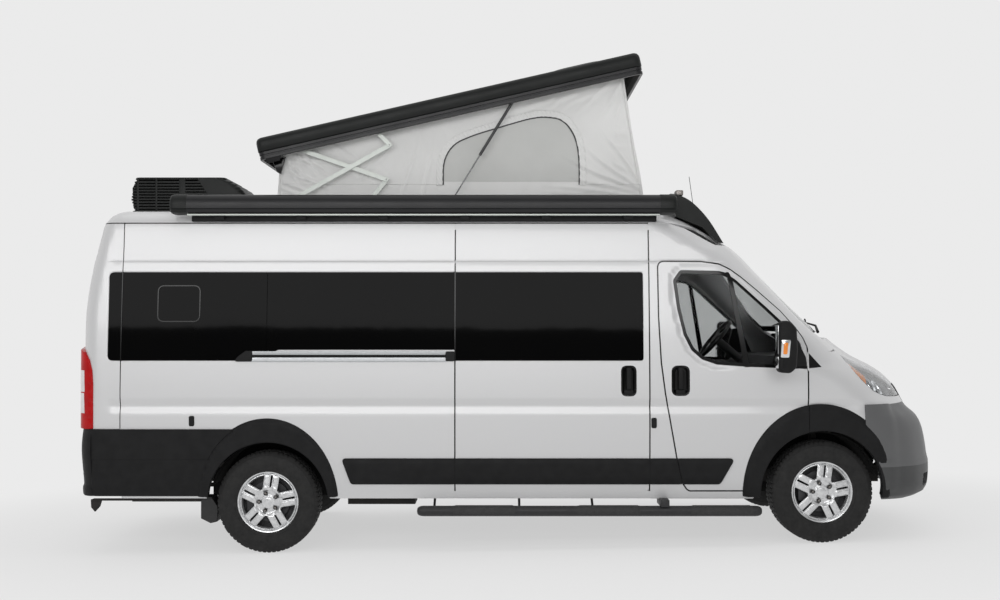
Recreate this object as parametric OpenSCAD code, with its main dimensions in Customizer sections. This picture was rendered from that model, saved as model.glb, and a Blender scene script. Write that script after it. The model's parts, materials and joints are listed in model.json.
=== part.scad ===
// Camper van with a tilting pop-top roof, a roof tent and a side awning.
// Millimetres, +X forward, +Y to the vehicle's left, +Z up, origin on the floor under the middle.
// The body is drawn level in its own frame, with z = 0 near the floor, and then raked nose down.

/* [Overall] */
// Distance between the front and rear axles
wheelbase = 4036; // [3900:1:4900]
// From the front axle to the tip of the nose
front_overhang = 944; // [930:1:1000]
// From the rear axle to the rear face of the doors
rear_overhang = 1396; // [1390:1:1700]
// Half-width of the body at its waist, without mouldings
half_width = 1012; // [990:1:1220]
// Height of the roof's crown above the body datum
roof_z = 2505; // [2400:1:3010]
// Nose-down rake of the body over the floor, degrees
rake = 1.05; // [0:0.05:2]

/* [Body shell] */
// Thickness of doors and walls
wall = 60; // [30:1:62]
// Visible seam between fixed panels
seam = 5; // [3:1:10]
// Seam around a door that swings
door_gap = 8; // [7:1:12]
// Height of the bottom edge of the sills
sill_z = 370; // [340:1:380]
// Height of the bottom edge of the doors
door_bottom_z = 423; // [410:1:450]
// Height of the window sill line
belt_z = 1363; // [1350:1:1375]
// Height of the top of the side windows
window_top_z = 2028; // [1950:1:2040]
// Height of the seam between side walls and roof
roof_seam_z = 2381; // [2340:1:2390]
// Length of the sliding side door
sliding_door_len = 1417; // [1100:1:1450]
// Thickness of the plastic side cladding
cladding_t = 15; // [8:1:20]
// Thickness of the window glass
glass_t = 7; // [4:1:10]

/* [Wheels] */
// Tyre radius
tyre_r = 372; // [310:1:384]
// Tyre width
tyre_w = 225; // [190:1:240]
// Radius of the rim
rim_r = 222; // [200:1:240]
// From the middle of the vehicle to a tyre's outer face
track_half = 1000; // [985:1:1010]
// Radius of the opening over a wheel
arch_r = 414; // [410:1:430]
// Steering axis, from the middle of the vehicle
kingpin_y = 770; // [755:1:785]
// How far the front wheels steer each way, degrees
steer_angle = 35; // [20:1:35]

/* [Pop-top] */
// Opening angle of the roof lid, degrees
lid_angle = 12.8; // [5:0.1:14]
// Length of the lid
lid_len = 2965; // [2800:1:3000]
// Half-width of the lid
lid_half = 720; // [700:1:740]
// Height of the lid's shell and rail together
lid_h = 171; // [160:1:200]
// Rear end of the closed lid
lid_rear_x = -1790; // [-1830:1:-1750]
// Clearance between the closed lid and its base frame
lid_gap = 10; // [6:1:20]
// Thickness of the lid's top
lid_skin = 25; // [10:1:40]
// Half-width of the tent
tent_half = 598; // [500:1:600]
// Thickness of the tent fabric as a solid
tent_t = 12; // [4:1:20]

/* [Roof linkage] */
// Width of a scissor bar
bar_w = 32; // [24:1:34]
// Thickness of a scissor bar
bar_t = 6; // [4:1:6]
// Radius of the linkage pins
pin_r = 6; // [4:0.5:7]
// Radial clearance of the linkage pins
pin_clear = 0.3; // [0.1:0.1:0.5]
// Length of the long scissor bars on the base
long_bar = 882; // [800:1:890]
// Length of the long scissor bars on the lid
lid_bar = 769; // [740:1:770]
// Length of the short scissor bars
short_bar = 221; // [180:1:230]

/* [Roof equipment] */
// Length of the air conditioner
ac_len = 938; // [700:1:960]
// Height of the air conditioner above its seat
ac_h = 268; // [200:1:300]
// Half-width of the air conditioner
ac_half = 340; // [280:1:400]
// Height of the awning case
awning_h = 152; // [110:1:160]
// Depth of the awning case
awning_w = 132; // [100:1:150]

/* [Details] */
// Radius of the side step tubes
step_r = 38; // [25:1:45]
// Radius of the steering wheel
steering_r = 190; // [170:1:210]
// Radius of the number plate holes
plate_hole_r = 3.5; // [2.5:0.1:5]
// Distance between the number plate holes
plate_pitch = 178; // [150:1:220]
// Radius of the tow ball hole
tow_hole_r = 12.7; // [10:0.1:14]

/* [Hidden] */
$fn = 48;
big = 9000;
fit_gap = 0.3;

// Heights above the belt line stretch with the roof
drawn_rise = 1142;
function level(z) = z <= belt_z ? z : belt_z + (z - belt_z) * (roof_z - belt_z) / drawn_rise;

// Places along the body, from the two axles
rear_axle_x = -1690;
front_axle_x = rear_axle_x + wheelbase;
nose_x = front_axle_x + front_overhang;
tail_x = rear_axle_x - rear_overhang;
slide_front_x = front_axle_x - 1257;
slide_rear_x = slide_front_x - sliding_door_len;
rear_seam_x = tail_x + 326;
fender_x = front_axle_x - 107 + door_gap;
bumper_seam_x = front_axle_x + 310;
function axle_z(x) = (tyre_r + x * sin(rake)) / cos(rake);
wheel_y = track_half - tyre_w / 2;
spindle_r = 31.7;
nose_world = nose_x * cos(rake) + 600 * sin(rake);
tail_world = (tail_x - 26) * cos(rake) + 400 * sin(rake);
shift_x = -(nose_world + tail_world) / 2;

// Half-width inset of the cross-section by height
SECTION = [[300, 44], [370, 39], [500, 16], [700, 2], [900, 0], [1100, 0], [1363, 12], [2028, 72],
  [2100, 80], [2380, 119], [2425, 140], [2458, 185], [2480, 290], [2496, 500]];
function half_at(z) = half_width - lookup(z, [for (p = SECTION) [level(p[0]), p[1]]]);

// Centre-line outline, seen from the side: [x, z, sweep back at 800 mm from the middle, power]
NOSE = [[540, 325, 150, 4], [790, 340, 150, 4], [905, 385, 150, 4], [938, 460, 150, 4],
  [944, 560, 150, 4], [940, 660, 150, 4], [915, 830, 160, 4], [865, 955, 180, 3.5],
  [800, 1022, 215, 3], [795, 1075, 240, 2.5], [755, 1158, 250, 2.5], [680, 1234, 250, 2.5],
  [565, 1311, 245, 2.5], [410, 1378, 225, 2.4], [315, 1450, 195, 2.3], [164, 1548, 170, 2.2],
  [-58, 1764, 160, 2.2], [-316, 2021, 160, 2.2], [-508, 2210, 160, 2.2], [-588, 2258, 165, 2.2],
  [-755, 2362, 170, 2.2], [-915, 2468, 180, 2.2], [-1010, 2500, 100, 2.2], [-1110, 2512, 0, 2]];
TAIL = [[390, 2512, 0, 2], [256, 2485, -18, 6], [156, 2420, -18, 6], [126, 2360, -18, 6],
  [101, 2230, -18, 6], [56, 2050, -18, 6], [24, 1870, -18, 6], [2, 1680, -18, 6], [0, 1000, -18, 6]];
OUTLINE = concat([[tail_x, sill_z, -18, 6], [front_axle_x + 400, sill_z, 120, 4]],
  [for (p = NOSE) [front_axle_x + p[0], level(p[1]), p[2], p[3]]],
  [for (p = TAIL) [tail_x + p[0], level(p[1]), p[2], p[3]]]);

// An outline moved inwards by d, each corner along its two edges' normals
function unit(v) = v / norm(v);
function normal(a, b) = let (d = unit([b[0] - a[0], b[1] - a[1]])) [-d[1], d[0]];
function inset_outline(p, d) = [for (i = [0:len(p) - 1]) let (
  a = p[(i + len(p) - 1) % len(p)], b = p[i], c = p[(i + 1) % len(p)],
  m = normal(a, b), n = normal(b, c), k = (m + n) / (1 + m * n))
  [b[0] + k[0] * d, b[1] + k[1] * d, b[2], b[3]]];

// A solid swept across the vehicle from an outline
STATIONS = 20;
sweep_half = 1300;
module swept(p) {
  n = len(p);
  function y_at(j) = sweep_half * (2 * j / STATIONS - 1);
  points = [for (j = [0:STATIONS], q = p) [q[0] - q[2] * pow(abs(y_at(j)) / 800, q[3]), y_at(j), q[1]]];
  sides = [for (j = [0:STATIONS - 1], i = [0:n - 1], t = [0, 1]) let (k = (i + 1) % n)
    t == 0 ? [j * n + i, j * n + k, (j + 1) * n + k] : [j * n + i, (j + 1) * n + k, (j + 1) * n + i]];
  ends = [[for (i = [n - 1:-1:0]) i], [for (i = [0:n - 1]) STATIONS * n + i]];
  polyhedron(points, concat(sides, ends), convexity = 8);
}
function side_points(d) = [for (p = SECTION) [half_at(level(p[0])) - d, level(p[0]) - (p[0] > 2300 ? d : 0)]];
module section(d) {
  right = side_points(d);
  left = [for (i = [len(right) - 1:-1:0]) [-right[i][0], right[i][1]]];
  polygon(concat(right, [[0, level(2510) - d]], left));
}
module along_x(x0, x1) translate([x0, 0, 0]) rotate([90, 0, 90]) linear_extrude(x1 - x0) children();
module along_y(y0, y1) translate([0, y1, 0]) rotate([90, 0, 0]) linear_extrude(y1 - y0) children();
module block(x0, x1, y0, y1, z0, z1) translate([x0, y0, z0]) cube([x1 - x0, y1 - y0, z1 - z0]);
module both_sides() { children(); mirror([0, 1, 0]) children(); }
module on_side(side) { if (side > 0) mirror([0, 1, 0]) children(); else children(); }
module body_solid(d = 0) intersection() {
  swept(inset_outline(OUTLINE, d));
  along_x(-big / 2, big / 2) section(d);
}
module layer(d0, d1) difference() { body_solid(d0); body_solid(d1); }
// The whole body in its place over the floor
module placed() translate([shift_x, 0, 0]) rotate([0, rake, 0]) children();
// A panel cut from the shell, as one mesh
module panel() placed() resize([0, 0, 0]) children();

// A fixed panel that reaches under its neighbour's edge, behind the open seam between them
tongue_d = 25;
module tongued(depth) {
  intersection() { layer(0, depth); children(0); }
  intersection() { layer(tongue_d, depth); children(1); }
}

// Regions of the side, drawn in x and z on the right
module arch_hole(x, r) along_y(-big, big) translate([x, axle_z(x)]) circle(r, $fn = 96);
module arches() {
  arch_hole(rear_axle_x, arch_r);
  arch_hole(front_axle_x, arch_r);
  wheel_sweep();
}
// What the steered tyres sweep, with room round them
module wheel_sweep() both_sides() for (a = [-steer_angle:5:steer_angle])
  translate([front_axle_x, -kingpin_y, axle_z(front_axle_x)]) rotate([0, 0, a])
  along_y(kingpin_y - track_half - 6, kingpin_y - track_half + tyre_w + 6) circle(tyre_r + 8, $fn = 48);
module pane(x0, x1, z0, z1, r = 25) hull() for (x = [x0 + r, x1 - r], z = [z0 + r, z1 - r])
  translate([x, z]) circle(r, $fn = 16);
module sliding_outline(g = 0) translate([slide_rear_x - g, door_bottom_z - g])
  square([sliding_door_len + 2 * g, level(roof_seam_z) - door_bottom_z - seam + 2 * g]);
// Cab door: rear edge, top edge, then the upright front edge
DOOR = [[-1193, 2099], [-1190, 1694], [-1173, 1359], [-1145, 1138], [-1101, 888], [-1063, 674],
  [-1036, 550], [-1017, 479], [-985, 434], [-965, 423], [-107, 423], [-107, 1500], [-118, 1560],
  [-147, 1627], [-235, 1738], [-410, 1885], [-540, 1985], [-628, 2040], [-730, 2078], [-876, 2095]];
WINDOW = [[-1083, 1962], [-1055, 1749], [-1010, 1559], [-955, 1448], [-876, 1378], [-765, 1341],
  [-542, 1325], [-125, 1310], [-125, 1440], [-150, 1520], [-206, 1610], [-374, 1770], [-597, 1965],
  [-690, 2020], [-740, 2032], [-1030, 2038], [-1072, 2010]];
module front_outline(p) polygon([for (q = p) [front_axle_x + q[0], level(q[1])]]);
module door_outline(g = 0) offset(delta = g) front_outline(DOOR);
module window_outline(g = 0) offset(delta = g) front_outline(WINDOW);
// Plastic flares, the rear corner panel and the sill band
module flare(x) translate([x, axle_z(x)]) intersection() {
  scale([1, 1.14]) circle(arch_r + 140);
  translate([-big, sill_z - axle_z(x)]) square([2 * big, big]);
}
module sill_band() hull() {
  translate([rear_axle_x + 545, 874]) circle(3, $fn = 12);
  translate([rear_axle_x + 640, 378]) circle(8, $fn = 12);
  translate([front_axle_x - 648, 874]) circle(3, $fn = 12);
  translate([front_axle_x - 740, 385]) circle(15, $fn = 12);
}
module band_shape() intersection() {
  sill_band();
  translate([-big, 477]) square([2 * big, 659 - 477]);
}
module cladding_shape() {
  flare(rear_axle_x);
  flare(front_axle_x);
  band_shape();
  translate([tail_x + 126, sill_z]) square([rear_axle_x - 331 - tail_x - 126, 874 - sill_z]);
}
module cladding_solid(g = fit_gap) difference() {
  intersection() {
    along_x(tail_x + 128, bumper_seam_x - seam) section(-cladding_t);
    along_y(-big, big) cladding_shape();
  }
  along_x(-big, big) section(-g);
  arches();
}

// Hinges of the rear doors: their axes, and the outer knuckles that the body carries
rear_hinge_y = 930;
rear_hinge_x = tail_x - 22;
hinge_barrel_r = 9;
rear_hinges_z = [773, 1905];
module hinge_knuckles(z, reach) both_sides() for (k = [z + 25 + fit_gap, z - 45 - fit_gap]) {
  translate([rear_hinge_x, -rear_hinge_y, k]) cylinder(r = hinge_barrel_r, h = 20, $fn = 16);
  block(rear_hinge_x, tail_x + reach, -rear_hinge_y - 6, -rear_hinge_y + 6, k + 2, k + 18);
}

// Regions of the front
module hood_region(g = 0) intersection() {
  along_x(front_axle_x, nose_x + 100) offset(delta = g) polygon([[-735, 1523], [735, 1523],
    [735, 1390], [600, 1345], [520, 1185], [-520, 1185], [-600, 1345], [-735, 1390]]);
  along_y(-big, big) translate([front_axle_x + 40 - g, 0]) square([big, big]);
}
module lamp_region(g = 0) difference() {
  along_y(-big, big) offset(delta = g) polygon([for (q = [[190, 1420], [240, 1314], [294, 1240],
    [391, 1149], [514, 1106], [900, 1085], [1000, 1420]]) [front_axle_x + q[0], q[1]]]);
  block(-big, big, -560 + g, 560 - g, 0, big);
  hood_region(seam - g);
}
module grille_region(g = 0) block(front_axle_x + 500, big, -520 - g, 520 + g, 690 - g, 1180 + g);
module bumper_region(g = 0) block(bumper_seam_x - g, big, -big, big, 0, 1050 + g);
module glass_region(g = 0) intersection() {
  along_x(front_axle_x - 1000, big) offset(delta = g) polygon([[-800, level(1585)],
    [800, level(1585)], [745, level(2195)], [-745, level(2195)]]);
  along_y(-big, big) translate([front_axle_x - 760 - g, 0]) square([big, big]);
}
module roof_region(g = 0) along_y(-big, big) offset(delta = g) polygon([[-big, level(roof_seam_z)],
  [front_axle_x - 1050, level(roof_seam_z)], [front_axle_x - 880, level(2350)],
  [front_axle_x - 640, level(2225)], [big, level(2225)], [big, big], [-big, big]]);
rear_door_top = level(2290);
module rear_door_region(g = 0) along_x(-big, tail_x + 200) offset(delta = g) polygon([
  for (s = [-1, 1]) each [for (z = s < 0 ? [560, 1363, rear_door_top] : [rear_door_top, 1363, 560])
    [s * (half_at(z) - 122), z]]]);

module roof_panel() color("silver") panel() difference() {
  intersection() { layer(0, 45); roof_region(); }
  block(front_axle_x - 2200, front_axle_x - 1400, -400, 400, 0, big);
}
module side_wall(side) panel() difference() {
  intersection() {
    layer(0, wall);
    on_side(side) block(rear_seam_x, slide_front_x, -big, -half_width + 210, 0, level(roof_seam_z) - seam);
  }
  arches();
  if (side < 0) along_y(-big, 0) sliding_outline(seam);
  on_side(side) side_window_cut(side);
}
// Window panes: [rear x, front x, bottom z]
function panes(side) = side < 0
  ? [[rear_seam_x - 90, -1701, belt_z], [-1701, slide_rear_x, belt_z + 80], [slide_rear_x, slide_front_x, belt_z]]
  : [[rear_seam_x - 90, -1701, belt_z], [-1701, slide_rear_x, belt_z], [slide_rear_x, slide_front_x, belt_z]];
module pane_shape(p, g) pane(p[0] + g, p[1] - g, p[2] + g, level(window_top_z) - g);
module side_window_cut(side) for (p = panes(side)) {
  along_y(-big, 0) pane_shape(p, 70);
  intersection() { along_y(-big, 0) pane_shape(p, 3); layer(-20, glass_t + 3); }
}
module side_wall_right() color("silver") side_wall(-1);
module side_wall_left() color("silver") side_wall(1);
module rear_frame() color("silver") panel() {
  difference() {
    intersection() {
      layer(0, wall);
      block(-big, rear_seam_x - seam, -big, big, 0, level(roof_seam_z) - seam);
    }
    rear_door_region(door_gap);
    block(-big, big, -half_width + 210, half_width - 210, 0, 500);
    lamp_corner(seam);
    bumper_corner_region(fit_gap);
    both_sides() side_window_cut(-1);
  }
  hinge_knuckles(rear_hinges_z[1], 100);
}
module sliding_door() color("silver") panel() difference() {
  intersection() {
    layer(0, wall);
    along_y(-big, -half_width + 210) sliding_outline();
  }
  side_window_cut(-1);
}
module side_glass() color([0.03, 0.03, 0.035]) panel() for (side = [-1, 1]) on_side(side)
  for (p = panes(side)) intersection() {
    layer(2, 2 + glass_t);
    along_y(-big, 0) pane_shape(p, 5);
  }
module door_rail() color([0.6, 0.61, 0.63]) panel() intersection() {
  layer(-12, -fit_gap);
  block(rear_axle_x - 200, slide_rear_x, -big, 0, belt_z + 10, belt_z + 72);
}
module cab_surround() color("silver") panel() {
  difference() {
    intersection() {
      layer(0, wall);
      block(slide_front_x + seam, front_axle_x + 420, -big, big, 0, big);
    }
    roof_region(seam);
    glass_region(fit_gap);
    hood_region(door_gap);
    along_y(-big, big) door_outline(door_gap);
    block(fender_x - 5, big, -big, big, 0, 1290);
    fender_cut(fit_gap);
    block(-big, fender_x, -half_width + 210, half_width - 210, 0, 800);
    arches();
    intersection() { layer(-20, cowl_depth); cowl_region(); }
  }
  hood_axis(hinge_r);
}
// The sunk tray behind the hood, over which the hood's rear edge turns
cowl_depth = 40;
module cowl_region() along_x(front_axle_x - 20, big) translate([-738, 1515]) square([1476, 76]);
module fender_cut(g = 0) along_y(-big, big) offset(delta = g) polygon([[fender_x, 0], [big, 0],
  [big, 1500], [front_axle_x + 160, 1500], [front_axle_x + 5, 1320], [fender_x, 1310]]);
module front_fenders() color("silver") panel() difference() {
  intersection() {
    layer(0, wall);
    fender_cut();
    union() {
      block(fender_x, front_axle_x + 600, -big, -620, sill_z, 1500);
      block(fender_x, front_axle_x + 600, 620, big, sill_z, 1500);
    }
  }
  hood_region(door_gap);
  lamp_region(seam);
  grille_region(seam);
  bumper_region(seam);
  block(-big, big, -half_width + 420, half_width - 420, 0, big);
  arches();
}
hood_t = 24;
hinge_r = 5;
module hood_axis(r) both_sides() translate([front_axle_x + 52, -755, 1527]) rotate([-90, 0, 0])
  cylinder(r = r, h = 40, $fn = 24);
module hood() color("silver") panel() difference() {
  intersection() { layer(0, hood_t); hood_region(); }
  hood_axis(hinge_r + fit_gap);
}
module bumper_front() color([0.19, 0.19, 0.2]) panel() difference() {
  tongued(wall) { bumper_region(); bumper_region(seam - fit_gap); }
  grille_region(seam);
  arches();
  block(front_axle_x + 700, big, -430, 430, 440, 600);
  both_sides() block(front_axle_x + 640, big, -790, -600, 440, 560);
}
module grille() color([0.08, 0.08, 0.085]) panel() difference() {
  union() {
    intersection() { layer(12, 52); grille_region(); }
    intersection() { layer(tongue_d, 52); grille_region(seam - fit_gap); }
  }
  for (i = [0:3]) block(front_axle_x + 500, big, -450, 450, 745 + i * 105, 800 + i * 105);
}
module headlamps() color([0.85, 0.87, 0.9]) panel() difference() {
  tongued(55) { lamp_region(); lamp_region(seam - fit_gap); }
  bumper_region(seam);
}
module windscreen() color([0.25, 0.3, 0.32, 0.5]) panel() intersection() {
  layer(4, 4 + glass_t);
  glass_region(-fit_gap);
}
// Tail lamps on the rear corners
module lamp_corner(g = 0) both_sides() intersection() {
  along_y(-big, -half_width + 125 + g) offset(delta = g) polygon([for (q = [[-60, 1490], [0, 1473],
    [24, 1440], [100, 1370], [126, 1290], [126, 879], [-60, 879]]) [tail_x + q[0], q[1]]]);
  block(-big, big, -big, -890 + g, 0, big);
}
module tail_lamps() color([0.65, 0.05, 0.06]) panel() difference() {
  tongued(55) { lamp_corner(); lamp_corner(seam - fit_gap); }
  bumper_corner_region(seam);
}
module bumper_corner_region(g = 0) {
  both_sides() block(-big, tail_x + 126 + g, -big, -887 + g, 300, 874 + g);
  block(-big, tail_x + 126 + g, -big, big, 300, 540 + g);
}
module bumper_rear() color([0.13, 0.13, 0.14]) panel() {
  difference() {
    intersection() {
      layer(-26, 60);
      bumper_corner_region();
      along_x(-big, big) section(-cladding_t);
    }
    block(-big, big, -big, big, 0, 385);
  }
  hinge_knuckles(rear_hinges_z[0], 40);
}
module side_cladding() color([0.13, 0.13, 0.14]) panel() difference() {
  cladding_solid();
  along_y(-big, big) door_outline(door_gap);
  along_y(-big, big) translate([fender_x - door_gap, 0]) square([door_gap, big]);
  along_y(-big, 0) translate([slide_rear_x - seam, 0]) square([seam, big]);
  along_y(-big, 0) translate([slide_front_x, 0]) square([seam, big]);
}

// Floor and running gear
floor_z = 630;
firewall_x = front_axle_x + 55;
module floor_pan() color([0.3, 0.3, 0.31]) panel() difference() {
  intersection() {
    body_solid(wall);
    union() {
      block(tail_x + 70, firewall_x, -big, big, floor_z - 40, floor_z);
      block(firewall_x, firewall_x + 12, -big, big, floor_z - 40, 1420);
    }
  }
  both_sides() for (x = [rear_axle_x, front_axle_x]) translate([x, -housing_y + fit_gap, axle_z(x)])
    rotate([90, 0, 0]) cylinder(r = housing_r + housing_t + fit_gap, h = big, $fn = 180);
  intersection() {
    layer(wall - 1, wall + door_gap);
    union() { rear_door_region(door_gap); along_y(-big, big) door_outline(door_gap); }
  }
}
rail_z = 430;
module chassis_frame() color([0.1, 0.1, 0.1]) placed() {
  both_sides() block(tail_x + 160, front_axle_x + 560, -490, -430, rail_z, 560);
  for (x = [tail_x + 160, rear_axle_x + 700, rear_axle_x + 1700, front_axle_x - 900, front_axle_x + 500])
    block(x, x + 60, -430, 430, 450, 540);
  both_sides() for (x = [rear_axle_x + 1100, front_axle_x - 900])
    block(x, x + 50, -half_width + 112, -490, 470, 530);
  both_sides() block(rear_axle_x + 800, front_axle_x - 800, -460, -440, 560, 590);
}
housing_t = 10;
housing_r = arch_r + 12;
housing_y = 550;
module wheel_housings() color([0.05, 0.05, 0.05]) placed() both_sides() for (x = [rear_axle_x, front_axle_x])
  difference() {
    translate([x, -housing_y, axle_z(x)]) rotate([90, 0, 0]) cylinder(r = housing_r + housing_t, h = 376);
    translate([x, -housing_y - housing_t, axle_z(x)]) rotate([90, 0, 0]) cylinder(r = housing_r, h = 400);
    block(x - 600, x + 600, -big, 0, -big, axle_z(x) + 120);
  }
module engine() color([0.25, 0.25, 0.26]) placed() block(front_axle_x + 80, front_axle_x + 470, -430 + fit_gap, 430 - fit_gap, 500, 1080);
module front_subframe() color([0.08, 0.08, 0.08]) placed() {
  z = axle_z(front_axle_x);
  block(front_axle_x - 160, front_axle_x + 160, -520, 520, z - 150, z - 90);
  both_sides() {
    block(front_axle_x - 45, front_axle_x + 45, -kingpin_y - 20, -520, z - 150, z - 125);
    translate([front_axle_x, -kingpin_y + 75, z + 70]) cylinder(r = 28, h = housing_r - 71.2);
    block(front_axle_x - 120, front_axle_x + 120, -490, -430, z - 90, rail_z);
  }
}
module rear_axle() color([0.08, 0.08, 0.08]) placed() {
  z = axle_z(rear_axle_x);
  translate([rear_axle_x, wheel_y - 70, z]) rotate([90, 0, 0]) cylinder(r = 42, h = 2 * wheel_y - 140);
  translate([rear_axle_x, wheel_y + 55, z]) rotate([90, 0, 0]) cylinder(r = spindle_r, h = 2 * wheel_y + 110);
  both_sides() {
    block(rear_axle_x - 60, rear_axle_x + 60, -500, -420, z + 30, z + 48);
    block(rear_axle_x - 620, rear_axle_x + 620, -495, -425, z + 48, z + 72);
    for (x = [-620, 580]) block(rear_axle_x + x, rear_axle_x + x + 40, -490, -430, z + 72, 430);
  }
}
module fuel_tank() color([0.12, 0.12, 0.12]) placed()
  block(rear_axle_x + 1160, rear_axle_x + 2300, 500, half_width - 212, 300, floor_z - 40 - fit_gap);
module exhaust() color([0.35, 0.34, 0.33]) placed() {
  block(rear_axle_x + 560, rear_axle_x + 1060, -800, -560, 300, 430);
  translate([rear_axle_x + 1060, -680, 365]) rotate([0, 90, 0]) cylinder(r = 30, h = wheelbase - 1900);
  block(rear_axle_x + 800, rear_axle_x + 830, -700, -660, 430, 590);
  block(front_axle_x - 900, front_axle_x - 870, -700, -660, 385, 470);
}
module mud_flaps() color([0.04, 0.04, 0.04]) placed() both_sides() along_y(-935, -760)
  polygon([for (q = [[-500, sill_z - fit_gap], [-425, sill_z - fit_gap], [-380, 300], [-385, 190],
    [-430, 180], [-500, 215]]) [rear_axle_x + q[0], q[1]]]);
step_y = -1050;
module side_steps() color([0.06, 0.06, 0.06]) placed() both_sides() {
  translate([front_axle_x - 2946, step_y, 287]) rotate([0, 90, 0]) cylinder(r = step_r, h = 2494);
  for (x = [-2825, -2205, -1670, -1175]) {
    block(front_axle_x + x, front_axle_x + x + 60, step_y + 20, -890, 292, 312);
    block(front_axle_x + x, front_axle_x + x + 60, -910, -890, 312, sill_z);
  }
}
// Fittings for strangers' parts stand square to the floor
module square_to_floor(x, z) translate([shift_x, 0, 0]) rotate([0, rake, 0]) translate([x, 0, z]) rotate([0, -rake, 0])
  children();
tow_t = 16;
tow_z = 312;
module tow_hitch() color([0.07, 0.07, 0.07]) square_to_floor(tail_x - 20, tow_z) difference() {
  union() {
    block(-60, 120, -45, 45, -tow_t / 2, tow_t / 2);
    block(80, 250, -30, 30, tow_t / 2, 66);
    block(190, 250, -440, 440, 8, 66);
    for (y = [-470, 440]) block(190, 250, y, y + 30, 8, rail_z - tow_z - 5);
  }
  translate([0, 0, -tow_t]) cylinder(r = tow_hole_r, h = 2 * tow_t);
}
module plate_bracket() color([0.1, 0.1, 0.1]) square_to_floor(tail_x - 27.4, 465) difference() {
  block(-8, 0, -160, 160, -55, 55);
  for (y = [-1, 1]) translate([-20, y * plate_pitch / 2, 30]) rotate([0, 90, 0]) cylinder(r = plate_hole_r, h = 40);
}
module seat(y) {
  block(front_axle_x - 900, front_axle_x - 500, y - 200, y + 200, floor_z, 850);
  block(front_axle_x - 960, front_axle_x - 440, y - 240, y + 240, 850, 970);
  along_y(y - 230, y + 230) polygon([for (q = [[-960, 970], [-840, 970], [-980, 1560], [-1080, 1560]])
    [front_axle_x + q[0], q[1]]]);
  along_y(y - 120, y + 120) polygon([for (q = [[-1000, 1560], [-1065, 1560], [-1100, 1760], [-1030, 1760]])
    [front_axle_x + q[0], q[1]]]);
}
module cab_seats() color([0.15, 0.15, 0.16]) placed() for (y = [-450, 450]) seat(y);
module dashboard() color([0.1, 0.1, 0.11]) panel() intersection() {
  body_solid(wall + 6);
  along_y(-big, big) dash_shape();
  block(-big, big, -half_width + 125, half_width - 125, 0, big);
}
module dash_shape() polygon([for (q = [[-330, 1000], [-330, 1330], [-250, 1390], [54.7, 1400], [54.7, 1000]])
  [front_axle_x + q[0], q[1]]]);
module steering_wheel() color([0.05, 0.05, 0.05]) placed() difference() {
  translate([front_axle_x - 527, 450, 1516]) rotate([0, 130, 0]) {
    rotate_extrude() translate([steering_r, 0]) circle(15, $fn = 16);
    translate([0, 0, -10]) cylinder(r = 60, h = 40);
    for (a = [0, 120, 240]) rotate([0, 0, a]) block(50, steering_r - 8, -14, 14, -6, 10);
    translate([0, 0, 20]) cylinder(r = 35, h = 300);
  }
  translate([-fit_gap, 0, 0]) along_y(0, big) dash_shape();
}

// Cab doors, hung at their front edges
module cab_door(side) panel() {
  difference() {
    intersection() { layer(0, wall); on_side(side) along_y(-big, -half_width + 200) door_outline(); }
    arches();
    on_side(side) along_y(-big, 0) window_outline();
  }
  difference() {
    intersection() { cladding_solid(-1); on_side(side) along_y(-big, 0) door_outline(); }
    arches();
  }
  for (z = [1000, 1180]) on_side(side) {
    intersection() { layer(wall - 1, wall + 12); block(fender_x - 60, fender_x - door_gap, -big, 0, z, z + 60); }
    intersection() { layer(wall + fit_gap, wall + 12); block(fender_x - 20, fender_x + 5, -big, 0, z, z + 60); }
  }
}
module cab_door_right() color("silver") cab_door(-1);
module cab_door_left() color("silver") cab_door(1);
module cab_door_glass(side) panel() difference() {
  intersection() { layer(20, 20 + glass_t); on_side(side) along_y(-big, 0) window_outline(-fit_gap); }
  arches();
}
module cab_door_glass_right() color([0.2, 0.24, 0.26, 0.5]) cab_door_glass(-1);
module cab_door_glass_left() color([0.2, 0.24, 0.26, 0.5]) cab_door_glass(1);
mirror_x = front_axle_x - 320;
module mirror_right() color([0.06, 0.06, 0.06]) mirror_body(-1);
module mirror_left() color([0.06, 0.06, 0.06]) mirror_body(1);
module mirror_body(side) panel() difference() {
  on_side(side) union() {
    translate([mirror_x, -1150, 1310]) hull() for (x = [0, 55], z = [35, 320])
      translate([x, 0, z]) rotate([90, 0, 0]) cylinder(r = 30, h = 130 - x / 2, $fn = 16);
    for (z = [1375, 1560]) translate([mirror_x + 60, -1200, z]) rotate([-90, 0, 0])
      cylinder(r = 14, h = 400, $fn = 16);
  }
  body_solid(20 - fit_gap);
}

// Rear doors, hung at the rear corners
module rear_door(side) panel() on_side(side) {
  difference() {
    intersection() {
      layer(0, wall);
      rear_door_region();
      translate([rear_hinge_x, -rear_hinge_y, 0]) cylinder(r = rear_hinge_y - 4, h = big, $fn = 180);
      block(-big, big, -big, -4, 0, big);
    }
    along_x(-big, big) pane(-790, -90, belt_z + 40, level(window_top_z) - 20);
  }
  intersection() {
    layer(glass_t, 2 * glass_t);
    along_x(-big, tail_x + 300) pane(-791, -89, belt_z + 39, level(window_top_z) - 19);
  }
  for (z = rear_hinges_z) {
    translate([rear_hinge_x, -rear_hinge_y, z - 25]) cylinder(r = hinge_barrel_r, h = 50, $fn = 16);
    difference() {
      block(rear_hinge_x - 6, tail_x + 120, -rear_hinge_y, -rear_hinge_y + 160, z - 20, z + 20);
      body_solid(3);
      block(tail_x - 12, big, -big, -half_at(z + 20) + 135, 0, big);
    }
  }
}
module rear_door_right() color("silver") rear_door(-1);
module rear_door_left() color("silver") rear_door(1);

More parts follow.
